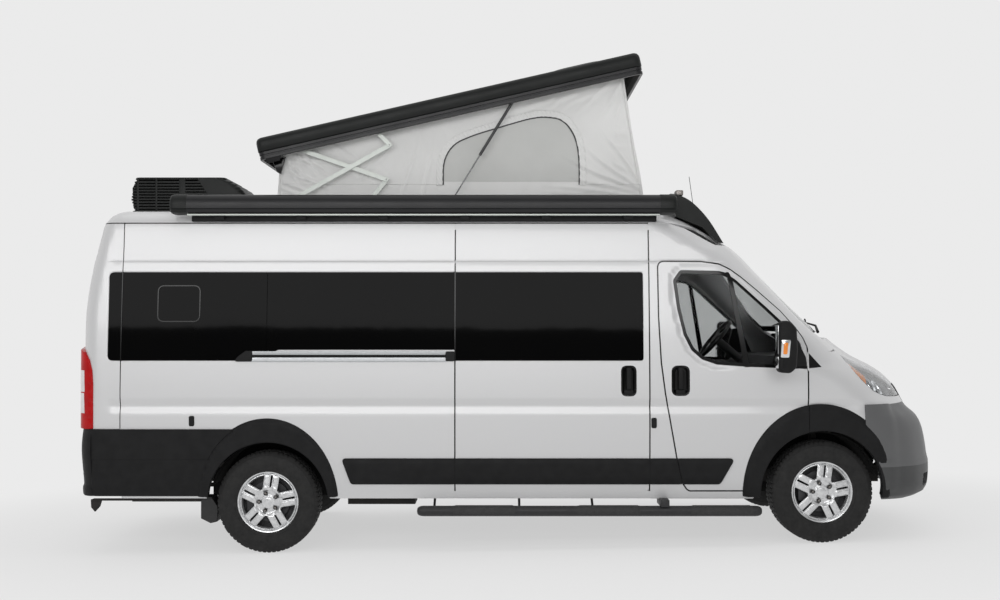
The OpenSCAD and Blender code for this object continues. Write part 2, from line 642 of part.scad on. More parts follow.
// Wheels and their carriers
module at_wheel(x, side) placed() translate([x, side * wheel_y, axle_z(x)]) on_side(side) children();
module tyre(x, side) at_wheel(x, side) rotate([90, 0, 0]) rotate_extrude($fn = 96)
  polygon([[rim_r + fit_gap, -95], [rim_r + 20, -105], [300, -tyre_w / 2], [345, -105], [tyre_r - 6, -95], [tyre_r, -80],
    [tyre_r, 80], [tyre_r - 6, 95], [345, 105], [300, tyre_w / 2], [rim_r + 20, 105], [rim_r + fit_gap, 95]]);
module rim(x, side) at_wheel(x, side) rotate([90, 0, 0]) difference() {
  union() {
    rotate_extrude($fn = 96) polygon([[rim_r - 22, -95], [rim_r, -95], [rim_r, 95], [rim_r - 12, 95], [rim_r - 22, 80]]);
    translate([0, 0, 40]) cylinder(r = rim_r - 16, h = 40);
  }
  for (a = [0:72:288]) rotate([0, 0, a + 36]) linear_extrude(200) polygon([[95, -6], [95, 6], [190, 44], [190, -44]]);
  translate([0, 0, -200]) cylinder(r = spindle_r + fit_gap, h = 262);
}
module tyre_front_right() color([0.05, 0.05, 0.05]) tyre(front_axle_x, -1);
module tyre_front_left() color([0.05, 0.05, 0.05]) tyre(front_axle_x, 1);
module tyre_rear_right() color([0.05, 0.05, 0.05]) tyre(rear_axle_x, -1);
module tyre_rear_left() color([0.05, 0.05, 0.05]) tyre(rear_axle_x, 1);
module rim_front_right() color([0.75, 0.76, 0.78]) rim(front_axle_x, -1);
module rim_front_left() color([0.75, 0.76, 0.78]) rim(front_axle_x, 1);
module rim_rear_right() color([0.75, 0.76, 0.78]) rim(rear_axle_x, -1);
module rim_rear_left() color([0.75, 0.76, 0.78]) rim(rear_axle_x, 1);
module knuckle(side) placed() on_side(side) translate([front_axle_x, 0, axle_z(front_axle_x)]) {
  translate([0, -kingpin_y + 20, 0]) rotate([90, 0, 0]) cylinder(r = 55, h = wheel_y - kingpin_y - 30);
  translate([0, -kingpin_y, 0]) rotate([90, 0, 0]) cylinder(r = spindle_r, h = wheel_y + 55 - kingpin_y);
  translate([0, -kingpin_y, -124.7]) cylinder(r = 18, h = 80);
  translate([0, -kingpin_y + 75, 20]) cylinder(r = 24, h = 49.7);
  block(-30, 30, -kingpin_y + 10, -kingpin_y + 90, -20, 30);
}
module knuckle_right() color([0.2, 0.2, 0.2]) knuckle(-1);
module knuckle_left() color([0.2, 0.2, 0.2]) knuckle(1);

// Pop-top: the lid turns about a far, virtual pole, as its linkage makes it
base_top_z = level(2515);
lid_z = base_top_z + lid_gap;
pole = [-3323, lid_z + 86];
module lid_open() translate([pole[0], 0, pole[1]]) rotate([0, -lid_angle, 0]) translate([-pole[0], 0, -pole[1]])
  children();
module pop_top_base() color([0.06, 0.06, 0.06]) panel() {
  difference() {
    block(lid_rear_x + 40, lid_rear_x + lid_len - 40, -lid_half + 20, lid_half - 20, level(2420), base_top_z);
    block(lid_rear_x + 140, lid_rear_x + lid_len - 140, -tent_half + 50, tent_half - 50, 0, big);
    body_solid();
  }
  both_sides() {
    for (x = [long_pin[0], strut_base[0]]) block(x - 20, x + 20, -680, -672, base_top_z - 1, link_z + 14);
    block(short_pin[0] - 20, short_pin[0] + 20, -620, -612, base_top_z - 1, link_z + 14);
    for (p = [[long_pin, -673], [short_pin, -636]]) translate([p[0][0], p[1], link_z]) rotate([-90, 0, 0])
      cylinder(r = pin_r, h = 25, $fn = 24);
  }
}
// A place on the open lid, from its rear end and its bottom edge
function on_lid(along, up) = let (p = [lid_rear_x + along - pole[0], lid_z + up - pole[1]])
  [pole[0] + p[0] * cos(lid_angle) - p[1] * sin(lid_angle), pole[1] + p[0] * sin(lid_angle) + p[1] * cos(lid_angle)];
// Where two bars of lengths m and n meet, below the line from a to b
function knee(a, m, b, n) = let (d = b - a, l = norm(d), t = (m * m - n * n + l * l) / (2 * l))
  a + d / l * t + sqrt(m * m - t * t) / l * [d[1], -d[0]];
// Linkage pivots on the base and, open, on the lid
link_z = base_top_z + 45;
long_pin = [lid_rear_x + 188, link_z];
short_pin = [lid_rear_x + 793, link_z];
strut_base = [lid_rear_x + 1420, link_z];
lid_pin = on_lid(244, 64);
lid_short_pin = on_lid(864, 93);
strut_pin = on_lid(2000, 62);
knee_top = knee(long_pin, long_bar, lid_short_pin, short_bar);
knee_low = knee(short_pin, short_bar, lid_pin, lid_bar);
module bar(a, b, y) placed() both_sides() difference() {
  along_y(-y - bar_t, -y) hull() { translate(a) circle(bar_w / 2, $fn = 32); translate(b) circle(bar_w / 2, $fn = 32); }
  for (p = [a, b]) translate([p[0], -y + 1, p[1]]) rotate([90, 0, 0]) cylinder(r = pin_r + pin_clear, h = bar_t + 2);
}
module lower_link() color([0.8, 0.82, 0.78]) bar(short_pin, knee_low, 628);
module upper_arm() color([0.8, 0.82, 0.78]) bar(lid_pin, knee_low, 639);
module lower_arm() color([0.8, 0.82, 0.78]) bar(long_pin, knee_top, 650);
module upper_link() color([0.8, 0.82, 0.78]) bar(lid_short_pin, knee_top, 661);
module pop_top_lid() color([0.07, 0.07, 0.075]) {
  placed() lid_open() difference() {
    block(lid_rear_x, lid_rear_x + lid_len, -lid_half, lid_half, lid_z, lid_z + lid_h);
    block(lid_rear_x + 30, lid_rear_x + lid_len - 30, -lid_half + 30, lid_half - 30, 0, lid_z + lid_h - lid_skin);
  }
  placed() both_sides() for (p = [[lid_pin, 637], [lid_short_pin, 659], [strut_pin, 642]])
    translate([p[0][0], -lid_half + 20, p[0][1]]) rotate([-90, 0, 0]) cylinder(r = pin_r, h = lid_half - 20 - p[1]);
}
// Gas struts between lid and base
tube_len = 536;
rod_len = 540;
strut_y = -652;
strut_span = norm(strut_pin - strut_base);
strut_lean = atan2(strut_pin[0] - strut_base[0], strut_pin[1] - strut_base[1]);
module along_strut() placed() both_sides() translate([strut_pin[0], strut_y, strut_pin[1]]) rotate([0, strut_lean + 180, 0])
  children();
module strut_tube() color([0.05, 0.05, 0.05]) along_strut() difference() {
  union() {
    translate([0, 0, 14]) cylinder(r = 11, h = tube_len - 14);
    translate([0, 6, 0]) rotate([90, 0, 0]) cylinder(r = 15, h = 12);
  }
  translate([0, 0, 24]) cylinder(r = 5.3, h = tube_len);
  translate([0, 10, 0]) rotate([90, 0, 0]) cylinder(r = pin_r + pin_clear, h = 20);
}
module strut_rod() color([0.7, 0.7, 0.7]) along_strut() {
  translate([0, 0, strut_span - rod_len]) cylinder(r = 5, h = rod_len - 5);
  translate([0, 6, strut_span]) rotate([90, 0, 0]) cylinder(r = 10, h = 12);
}
// Tent: a fabric tube between the base and the lid
module tent() color([0.75, 0.76, 0.76]) placed() difference() {
  tent_prism(0, 0);
  tent_prism(tent_t, 40);
}
tent_top = lid_h - lid_skin - fit_gap;
module tent_prism(t, over) along_y(-tent_half + t, tent_half - t) polygon([
  [lid_rear_x + 75 + t, base_top_z + fit_gap - over], [lid_rear_x + lid_len - 58 - t, base_top_z + fit_gap - over],
  on_lid(lid_len - 190 - t, tent_top + over), on_lid(130 + t, tent_top + over)]);

// Air conditioner, awning, cab fairing and antenna on the roof
awning_x0 = tail_x + 682;
awning_x1 = front_axle_x - 1056;
module roof_equipment() color([0.07, 0.07, 0.07]) panel() difference() {
  union() {
    air_conditioner();
    awning();
    fairing();
    translate([front_axle_x - 800, -250, level(2300)]) cylinder(r = 12, h = 200, $fn = 16);
    translate([front_axle_x - 800, -250, level(2400)]) rotate([0, -8, 0]) cylinder(r = 3, h = 420, $fn = 8);
  }
  body_solid();
}
module air_conditioner() along_y(-ac_half, ac_half) polygon([for (q = [[0, 40], [0, 0], [40, -30], [ac_len, -30],
  [ac_len, 20], [ac_len - 190, ac_h - 14], [40, ac_h], [0, 190]]) [tail_x + 193 + q[0], level(2519) + q[1]]]);
module awning() {
  along_x(awning_x0, awning_x1) translate([-945, level(2512)]) scale([awning_w / 2, awning_h / 2]) circle(1, $fn = 32);
  block(awning_x0 + 140, awning_x1 - 140, -915, -800, level(2387), level(2449));
}
module fairing() along_y(-790, 790) polygon([for (q = [[-1040, 2640], [-960, 2622], [-860, 2560], [-770, 2460],
  [-650, 2270], [-700, 2200], [-1040, 2400]]) [front_axle_x + q[0], level(q[1])]]);

roof_panel();
side_wall_right();
side_wall_left();
rear_frame();
cab_surround();
front_fenders();
hood();
bumper_front();
grille();
headlamps();
bumper_rear();
tail_lamps();
side_cladding();
sliding_door();
door_rail();
side_glass();
windscreen();
floor_pan();
chassis_frame();
wheel_housings();
engine();
front_subframe();
rear_axle();
fuel_tank();
exhaust();
mud_flaps();
side_steps();
tow_hitch();
plate_bracket();
cab_seats();
dashboard();
steering_wheel();
cab_door_right();
cab_door_left();
cab_door_glass_right();
cab_door_glass_left();
mirror_right();
mirror_left();
rear_door_right();
rear_door_left();
knuckle_right();
knuckle_left();
tyre_front_right();
tyre_front_left();
tyre_rear_right();
tyre_rear_left();
rim_front_right();
rim_front_left();
rim_rear_right();
rim_rear_left();
pop_top_base();
tent();
pop_top_lid();
lower_arm();
upper_arm();
lower_link();
upper_link();
strut_tube();
strut_rod();
roof_equipment();
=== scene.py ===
"""A camper van with a pop-top roof: its looks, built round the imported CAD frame.

Everything is drawn in metres in the level frame of the body, and BODY then rakes it nose down
over the floor. Panels are outlines laid on one smooth skin, so that neighbours share its curve.
"""

import json
import math
import random

import bmesh
import bpy
import numpy as np
from mathutils import Matrix, Vector
from mathutils.geometry import delaunay_2d_cdt


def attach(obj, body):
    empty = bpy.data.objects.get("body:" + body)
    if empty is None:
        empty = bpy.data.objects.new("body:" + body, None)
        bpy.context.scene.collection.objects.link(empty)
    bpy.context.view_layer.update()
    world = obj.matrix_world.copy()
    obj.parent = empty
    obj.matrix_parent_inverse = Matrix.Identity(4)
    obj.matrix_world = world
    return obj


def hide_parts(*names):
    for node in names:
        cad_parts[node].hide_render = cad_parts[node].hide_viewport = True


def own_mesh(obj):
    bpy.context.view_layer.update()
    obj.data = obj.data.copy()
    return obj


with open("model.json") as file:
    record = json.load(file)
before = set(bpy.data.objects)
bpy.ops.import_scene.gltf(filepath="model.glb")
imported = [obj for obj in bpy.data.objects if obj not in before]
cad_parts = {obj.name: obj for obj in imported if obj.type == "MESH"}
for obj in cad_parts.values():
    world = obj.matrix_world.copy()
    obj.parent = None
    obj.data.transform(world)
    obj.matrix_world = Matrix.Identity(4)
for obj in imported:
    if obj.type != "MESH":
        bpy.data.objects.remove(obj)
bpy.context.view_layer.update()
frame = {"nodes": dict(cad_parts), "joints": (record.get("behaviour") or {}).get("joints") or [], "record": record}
random.seed(7)

# ---------------------------------------------------------------- places, from the frame
JOINTS = {j["name"]: j for j in frame["joints"]}
RAKE = math.asin(JOINTS["steering_right"]["axis"][0])
SIN, COS = math.sin(RAKE), math.cos(RAKE)
REAR_SPIN = Vector(JOINTS["wheel_rear_right_spin"]["pos_m"])
FRONT_SPIN = Vector(JOINTS["wheel_front_right_spin"]["pos_m"])
TYRE_R = REAR_SPIN.z
REAR_X = -1.690
FRONT_X = REAR_X + (FRONT_SPIN.x - REAR_SPIN.x) * COS


def axle_z(x):
    """Height of an axle in the body's frame."""
    return (TYRE_R + x * SIN) / COS


SHIFT = REAR_SPIN.x - (REAR_X * COS + axle_z(REAR_X) * SIN)
BODY = Matrix.Translation((SHIFT, 0, 0)) @ Matrix.Rotation(RAKE, 4, "Y")
TAIL_X = REAR_X - 1.396
NOSE_X = FRONT_X + 0.944
SLIDE_FRONT_X = FRONT_X - 1.257
SLIDE_REAR_X = SLIDE_FRONT_X - 1.417
REAR_SEAM_X = TAIL_X + 0.326
FENDER_X = FRONT_X - 0.099
BUMPER_SEAM_X = FRONT_X + 0.310
SILL_Z = 0.370
DOOR_BOTTOM_Z = 0.423
BELT_Z = 1.363
WINDOW_TOP_Z = 2.028
ROOF_SEAM_Z = 2.381
HALF_GAP = 0.0025
PANEL_TOP_Z = ROOF_SEAM_Z - 0.003
REAR_ARCH_R, FRONT_ARCH_R = 0.452, 0.462
BODY_HALF = 1.012


# ---------------------------------------------------------------- the body's skin
def smooth_curve(points):
    """A smooth function through (t, value) points that doesn't overshoot them."""
    t, v = (np.array(c, float) for c in zip(*points))
    h, d = np.diff(t), np.diff(v) / np.diff(t)
    m = np.concatenate([[d[0]], np.where(d[1:] * d[:-1] > 0,
        2 * d[1:] * d[:-1] / np.where(np.abs(d[1:] + d[:-1]) > 1e-9, d[1:] + d[:-1], 1), 0), [d[-1]]])

    def value(x):
        """The curve's value, held level past its ends."""
        x = np.clip(x, t[0], t[-1])
        i = np.clip(np.searchsorted(t, x) - 1, 0, len(h) - 1)
        s = (x - t[i]) / h[i]
        return (v[i] * (1 + 2 * s) * (1 - s) ** 2 + m[i] * h[i] * s * (1 - s) ** 2
                + v[i + 1] * s * s * (3 - 2 * s) + m[i + 1] * h[i] * s * s * (s - 1))
    return value


SIDE_INSET = smooth_curve([(0.30, 0.046), (0.37, 0.038), (0.50, 0.016), (0.70, 0.003), (0.90, 0),
    (1.10, 0.001), (1.363, 0.012), (1.70, 0.038), (2.028, 0.071), (2.38, 0.119), (2.60, 0.152)])
# The nose along the middle line, its sweep back at 0.8 m from the middle, and the sweep's power
NOSE = smooth_curve([(0.325, 0.540), (0.340, 0.760), (0.385, 0.900), (0.46, 0.938), (0.56, 0.944),
    (0.66, 0.940), (0.83, 0.915), (0.955, 0.868), (1.022, 0.815), (1.075, 0.795), (1.158, 0.755),
    (1.234, 0.680), (1.311, 0.565), (1.378, 0.430), (1.45, 0.315), (1.548, 0.184), (1.764, -0.058),
    (2.021, -0.316), (2.210, -0.508), (2.258, -0.588), (2.362, -0.755), (2.468, -0.935), (2.56, -1.12)])
NOSE_SWEEP = smooth_curve([(0.325, 0.150), (0.9, 0.158), (1.022, 0.205), (1.158, 0.248), (1.311, 0.245),
    (1.45, 0.195), (1.548, 0.170), (1.9, 0.160), (2.6, 0.170)])
NOSE_POWER = smooth_curve([(0.325, 4.0), (0.9, 3.9), (1.075, 2.6), (1.3, 2.5), (1.5, 2.2), (2.6, 2.2)])
TAIL = smooth_curve([(0.3, 0), (1.0, 0), (1.48, 0.001), (1.68, 0.004), (1.87, 0.024), (2.05, 0.055),
    (2.23, 0.098), (2.36, 0.130), (2.42, 0.156), (2.60, 0.26)])
ROOF_CROWN = 0.0534
ROOF_Z = 2.510


def half_at(z):
    """Half the body's width at a height."""
    return BODY_HALF - SIDE_INSET(z)


def nose_at(y, z):
    """The nose's x."""
    return FRONT_X + NOSE(z) - NOSE_SWEEP(z) * (np.abs(y) / 0.8) ** NOSE_POWER(z)


def tail_at(y, z):
    """The tail's x."""
    return TAIL_X + TAIL(z) + 0.018 * (np.abs(y) / 0.8) ** 6


def rounded_max(a, b, k):
    """The larger of two fields, rounded over k where they meet."""
    h = np.maximum(k - np.abs(a - b), 0) / k
    return np.maximum(a, b) + h * h * k / 4


def skin(p):
    """Below zero inside the body, and near the distance to its skin close to it."""
    x, y, z = p[..., 0], p[..., 1], p[..., 2]
    side = np.abs(y) - half_at(z)
    slope = (NOSE(z + 0.01) - NOSE(z - 0.01)) / 0.02
    front = (x - nose_at(y, z)) / np.sqrt(1 + slope ** 2)
    rear = tail_at(y, z) - x
    top = z - ROOF_Z + ROOF_CROWN * y * y
    f = rounded_max(rounded_max(side, front, 0.15), rear, 0.10)
    return rounded_max(f, top, 0.11)


def cast(origin, direction, reach=1.6):
    """Where rays from inside the body leave its skin."""
    lo, hi = np.zeros(len(origin)), np.full(len(origin), reach)
    for _ in range(26):
        mid = (lo + hi) / 2
        inside = skin(origin + direction * mid[:, None]) < 0
        lo, hi = np.where(inside, mid, lo), np.where(inside, hi, mid)
    return origin + direction * ((lo + hi) / 2)[:, None]


# Charts lay flat (u, z) outlines on the skin. Seen from outside, u runs to the right.
CORNER_Y = 0.60
CORNER_SCALE = 0.5
REAR_CORNER = 0.22
REAR_OFFSET = 0.03
QUARTER = math.pi / 2


def front_corner_x(z):
    """Where the front corner's centre line lies."""
    return np.minimum(FRONT_X + 0.40, nose_at(CORNER_Y, z) - 0.30)


def turned(centre_x, centre_y, z, angle):
    """Rays from a corner's centre, from sideways at angle 0 to forward at a quarter turn."""
    origin = np.stack([centre_x, centre_y, z], -1)
    direction = np.stack([np.sin(angle), -np.cos(angle), 0 * z], -1)
    return cast(origin, direction)


def side_chart(u, z):
    """The right side, where u is x, on round the front and rear corners."""
    fx, rx = front_corner_x(z), TAIL_X + TAIL(z) + REAR_OFFSET + REAR_CORNER
    rear_y = -(half_at(z) - REAR_CORNER)
    angle = np.clip((u - fx) / CORNER_SCALE, 0, QUARTER) + np.clip((u - rx) / REAR_CORNER, -QUARTER, 0)
    centre_x = np.where(u < rx, rx, np.minimum(u, fx))
    beyond = np.maximum(0, u - fx - CORNER_SCALE * QUARTER) - np.maximum(0, rx - REAR_CORNER * QUARTER - u)
    centre_y = np.where(u < rx, rear_y - beyond, -CORNER_Y + beyond)
    return turned(centre_x, centre_y, z, angle)


def front_chart(u, z):
    """The front, where u is y, on round the right front corner for the panel's mirrored half too."""
    fx = front_corner_x(z)
    over = np.maximum(0, np.abs(u) - CORNER_Y)
    angle = QUARTER - np.clip(over / CORNER_SCALE, 0, QUARTER)
    back = np.maximum(0, over - CORNER_SCALE * QUARTER)
    p = turned(fx - back, -np.minimum(np.abs(u), CORNER_Y), z, angle)
    p[:, 1] *= -np.sign(u) + (u == 0)
    return p


def rear_chart(u, z):
    """The rear face, where u is y reversed."""
    origin = np.stack([np.full_like(u, TAIL_X + 0.6), -u, z], -1)
    return cast(origin, np.broadcast_to([-1.0, 0, 0], origin.shape))


def roof_chart(u, v):
    """The roof from above: u is x and v is y."""
    origin = np.stack([u, v, np.full_like(u, 1.9)], -1)
    return cast(origin, np.broadcast_to([0, 0, 1.0], origin.shape))


def side_u(x, z):
    """The side chart's u of points that show at x in a side view."""
    x, z = np.broadcast_arrays(np.array(x, float), np.array(z, float))
    lo, hi = np.full(x.shape, TAIL_X - 0.2), np.full(x.shape, NOSE_X)
    for _ in range(22):
        mid = (lo + hi) / 2
        low = side_chart(mid, z)[:, 0] < x
        lo, hi = np.where(low, mid, lo), np.where(low, hi, mid)
    return (lo + hi) / 2


def on_side(points):
    """A side view's outline, in the side chart."""
    p = np.array(dense(points, 0.05), float)
    return list(zip(side_u(p[:, 0], p[:, 1]), p[:, 1]))


# ---------------------------------------------------------------- flat outlines
def dense(points, step, closed=True):
    """An outline with points at most step apart."""
    out = []
    ends = points[1:] + points[:1] if closed else points[1:]
    for a, b in zip(points, ends):
        n = max(1, math.ceil(math.dist(a, b) / step))
        out += [(a[0] + (b[0] - a[0]) * i / n, a[1] + (b[1] - a[1]) * i / n) for i in range(n)]
    return out if closed else out + [points[-1]]


def rounded(points, radius, steps=6):
    """An outline with its corners rounded. radius is one number, or one for each corner."""
    radii = radius if hasattr(radius, "__len__") else [radius] * len(points)
    out = []
    for i, r in enumerate(radii):
        p = Vector(points[i])
        a, b = Vector(points[i - 1]) - p, Vector(points[(i + 1) % len(points)]) - p
        half = a.angle(b) / 2
        if r < 1e-5 or abs(half - QUARTER) < 0.02:
            out.append(tuple(p))
            continue
        cut = min(r / math.tan(half), a.length * 0.49, b.length * 0.49)
        start, end = p + a.normalized() * cut, p + b.normalized() * cut
        for k in range(steps + 1):
            t = k / steps
            out.append(tuple(start.lerp(p, t).lerp(p.lerp(end, t), t)))
    return out


def rect(u0, u1, z0, z1, radius=0.0):
    """A rectangle's outline, with round corners if it has a radius."""
    points = [(u0, z0), (u1, z0), (u1, z1), (u0, z1)]
    return rounded(points, radius) if radius else points


def grown(points, d):
    """An outline, counter-clockwise, moved outwards by d along its edges' normals."""
    out = []
    for i, p in enumerate(points):
        a, c = Vector(points[i - 1]), Vector(points[(i + 1) % len(points)])
        b = Vector(p)
        m, n = (b - a).normalized(), (c - b).normalized()
        m, n = Vector((m.y, -m.x)), Vector((n.y, -n.x))
        k = (m + n) / max(0.35, 1 + m.dot(n))
        out.append(tuple(b + k * d))
    return out


def circle(cx, cz, r, steps=64, tall=1.0):
    """A circle's outline, stretched upwards by tall."""
    return [(cx + r * math.cos(a), cz + r * tall * math.sin(a))
            for a in (2 * math.pi * i / steps for i in range(steps))]


def distance_to(outline, u, z):
    """Distance from points to an outline, below zero inside it."""
    best = np.full(u.shape, 9.0)
    inside = np.zeros(u.shape, bool)
    for (ax, az), (bx, bz) in zip(outline, outline[1:] + outline[:1]):
        ex, ez = bx - ax, bz - az
        t = np.clip(((u - ax) * ex + (z - az) * ez) / max(ex * ex + ez * ez, 1e-12), 0, 1)
        best = np.minimum(best, np.hypot(u - ax - t * ex, z - az - t * ez))
        if abs(ez) > 1e-12:
            inside ^= ((az > z) != (bz > z)) & (u < ex * (z - az) / ez + ax)
    return np.where(inside, -best, best)


def bump(t):
    """Smooth from 0 at t = 0 to 1 at t = 1."""
    t = np.clip(t, 0, 1)
    return t * t * (3 - 2 * t)


# ---------------------------------------------------------------- meshes
def left_of(name):
    """The name of a piece's mirror image."""
    return name.removesuffix("_right") + "_left"


def left_nodes(node):
    """The CAD node that a mirror image stands for, where the frame has one for each side."""
    return left_of(node) if node and node.endswith("_right") else ()


def finish_mesh(mesh, name, material, body="root", replaces=(), normals=None, place=BODY):
    """Puts a mesh drawn in the body's frame in its place and rides it on a CAD body."""
    mesh.materials.clear()
    materials = material if isinstance(material, (list, tuple)) else [material]
    for m in materials:
        mesh.materials.append(m)
    if normals is not None:
        mesh.polygons.foreach_set("use_smooth", [True] * len(mesh.polygons))
        mesh.normals_split_custom_set_from_vertices([tuple(n) for n in normals])
    mesh.transform(place)
    obj = bpy.data.objects.new(name, mesh)
    bpy.context.scene.collection.objects.link(obj)
    if body:
        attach(obj, body)
    if replaces:
        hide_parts(*([replaces] if isinstance(replaces, str) else replaces))
    return obj


def sheet_mesh(add, cut, chart, step, rows=(), relief=None, lift=0.0):
    """Triangles that fill outlines on a chart: flat points, places, normals, faces, edge loops."""
    polys = [dense(p, step * 0.6) for p in add] + [dense(p, step * 0.6) for p in cut]
    flat = [q for p in polys for q in p]
    u0, z0 = np.min(flat, 0)
    u1, z1 = np.max(flat, 0)
    us = np.arange(u0 + step / 2, u1, step)
    zs = sorted(set(np.round(np.arange(z0 + step / 2, z1, step), 5)) | {r for r in rows if z0 < r < z1})
    zs = [z for i, z in enumerate(zs) if z in rows or all(abs(z - r) > step * 0.3 for r in rows)]
    coords = [Vector(q) for q in flat] + [Vector((u, z)) for z in zs for u in us]
    faces, k = [], 0
    for p in polys:
        faces.append(list(range(k, k + len(p))))
        k += len(p)
    v, _, f, _, _, origin = delaunay_2d_cdt(coords, [], faces, 1, 1e-6)
    kept = [t for t, o in zip(f, origin)
            if any(i < len(add) for i in o) and not any(i >= len(add) for i in o)]
    used = sorted({i for t in kept for i in t})
    index = {i: n for n, i in enumerate(used)}
    uv = np.array([v[i] for i in used], float)
    tris = [[index[i] for i in t] for t in kept]

    def lifted(u, z):
        """Points of the chart, moved out along the skin by the lift and the relief."""
        p = chart(u, z)
        if relief is None and not lift:
            return p
        e = 0.002
        n = np.cross(chart(u + e, z) - chart(u - e, z), chart(u, z + e) - chart(u, z - e))
        n /= np.linalg.norm(n, axis=1)[:, None] + 1e-12
        d = lift + (relief(u, z) if relief is not None else 0)
        return p + n * np.broadcast_to(d, u.shape)[:, None]

    u, z = uv[:, 0], uv[:, 1]
    p = lifted(u, z)
    e = 0.0015
    n = np.cross(lifted(u + e, z) - lifted(u - e, z), lifted(u, z + e) - lifted(u, z - e))
    n /= np.linalg.norm(n, axis=1)[:, None] + 1e-12
    a, b, c = (p[[t[i] for t in tris]] for i in range(3))
    if len(tris) and np.mean(np.sum(np.cross(b - a, c - a) * n[[t[0] for t in tris]], 1)) < 0:
        tris = [t[::-1] for t in tris]
    edges = {}
    for t in tris:
        for i, j in ((t[0], t[1]), (t[1], t[2]), (t[2], t[0])):
            edges[(i, j)] = True
    follow = {i: j for i, j in edges if (j, i) not in edges}
    loops = []
    while follow:
        start, i = next(iter(follow.items()))
        loop = [start]
        del follow[start]
        while i != start and i in follow:
            loop.append(i)
            i = follow.pop(i)
        if len(loop) > 2:
            loops.append(loop)
    return uv, p, n, tris, loops


def panel(name, material, add, chart=side_chart, cut=(), depth=0.03, roll=0.004, soft=None, step=0.035,
          rows=(), relief=None, lift=0.0, body="root", slot=None, replaces=(), sides="right", thin=False,
          place=BODY):
    """A panel with rolled edges, laid on the skin. soft = (outline, radius) rounds that edge more.
    sides is right, left for its mirror image alone, or both, which names the second one after the first."""
    uv, p, n, tris, loops = sheet_mesh(add, cut, chart, step, rows, relief, lift)
    verts, normals, faces = [p], [n], [list(t) for t in tris]
    count = len(p)
    rim_cuts = (math.pi / 4, QUARTER)
    for loop in loops:
        q, m = p[loop], n[loop]
        run = np.roll(q, -1, 0) - np.roll(q, 1, 0)
        out = np.cross(run, m)
        out /= np.linalg.norm(out, axis=1)[:, None] + 1e-12
        r = np.full(len(loop), roll)
        if soft is not None:
            near = np.abs(distance_to(soft[0], uv[loop, 0], uv[loop, 1])) < 0.004
            r = np.where(near, soft[1], r)
        r = r[:, None]
        last = list(loop)
        for angle in rim_cuts:
            verts.append(q + out * r * math.sin(angle) - m * r * (1 - math.cos(angle)))
            normals.append(m * math.cos(angle) + out * math.sin(angle))
            ring = list(range(count, count + len(loop)))
            count += len(loop)
            faces += [[last[i], ring[i], ring[(i + 1) % len(loop)], last[(i + 1) % len(loop)]]
                      for i in range(len(loop))]
            last = ring
        verts += [q + out * r - m * depth, q + out * r - m * depth, q - m * depth]
        normals += [out, -m, -m]
        rings = [list(range(count + k * len(loop), count + (k + 1) * len(loop))) for k in range(3)]
        count += 3 * len(loop)
        for ring_a, ring_b in ((last, rings[0]), (rings[1], rings[2])):
            faces += [[ring_a[i], ring_b[i], ring_b[(i + 1) % len(loop)], ring_a[(i + 1) % len(loop)]]
                      for i in range(len(loop))]
    if not thin:
        verts.append(p - n * depth)
        normals.append(-n)
        faces += [[i + count for i in reversed(t)] for t in tris]
    verts, normals = np.concatenate(verts), np.concatenate(normals)
    made = []
    for side in {"right": (1,), "left": (-1,), "both": (1, -1)}[sides]:
        if made:
            name, body, replaces = left_of(name), body.replace("_right", "_left"), left_nodes(replaces)
        flip = np.array([1, side, 1])
        mesh = bpy.data.meshes.new(name)
        mesh.from_pydata((verts * flip).tolist(), [], faces if side > 0 else [f[::-1] for f in faces])
        made.append(finish_mesh(mesh, name, material, body, replaces, normals * flip, place))
    return made


# ---------------------------------------------------------------- materials
def material(name, color, rough=0.5, metallic=0.0, vary=(), bumps=(), rough_vary=None, **sockets):
    """A procedural material. vary = (other colour, scale, share), bumps = (kind, scale, distance)."""
    mat = bpy.data.materials.new(name)
    mat.use_nodes = True
    nodes, links = mat.node_tree.nodes, mat.node_tree.links
    shader = nodes["Principled BSDF"]
    shader.inputs["Roughness"].default_value = rough
    shader.inputs["Metallic"].default_value = metallic
    for key, value in sockets.items():
        shader.inputs[key.replace("_", " ")].default_value = value
    place = nodes.new("ShaderNodeTexCoord").outputs["Object"]

    def texture(kind, scale):
        """The height of a noise or of rounded cells, in object coordinates."""
        node = nodes.new({"noise": "ShaderNodeTexNoise", "cells": "ShaderNodeTexVoronoi"}[kind])
        node.inputs["Scale"].default_value = scale
        if kind == "noise":
            node.inputs["Detail"].default_value = 3.0
        links.new(place, node.inputs["Vector"])
        return node.outputs[0]

    def ranged(value, low, high):
        """The middle of a noise's range, spread from low to high."""
        node = nodes.new("ShaderNodeMapRange")
        links.new(value, node.inputs["Value"])
        node.inputs["From Min"].default_value = 0.3
        node.inputs["From Max"].default_value = 0.7
        node.inputs["To Min"].default_value = low
        node.inputs["To Max"].default_value = high
        return node.outputs["Result"]

    other, scale, share = vary or (tuple(c * 0.8 for c in color), 5.0, 0.3)
    mix = nodes.new("ShaderNodeMix")
    mix.data_type = "RGBA"
    mix.inputs[6].default_value = (*color, 1)
    mix.inputs[7].default_value = (*other, 1)
    links.new(ranged(texture("noise", scale), 0, share), mix.inputs[0])
    links.new(mix.outputs[2], shader.inputs["Base Color"])
    if rough_vary:
        links.new(ranged(texture("noise", rough_vary[0]), rough, rough_vary[1]), shader.inputs["Roughness"])
    last = None
    for kind, scale, distance in bumps:
        node = nodes.new("ShaderNodeBump")
        node.inputs["Distance"].default_value = distance
        links.new(texture(kind, scale), node.inputs["Height"])
        if last:
            links.new(last, node.inputs["Normal"])
        last = node.outputs["Normal"]
    if last:
        links.new(last, shader.inputs["Normal"])
    return mat


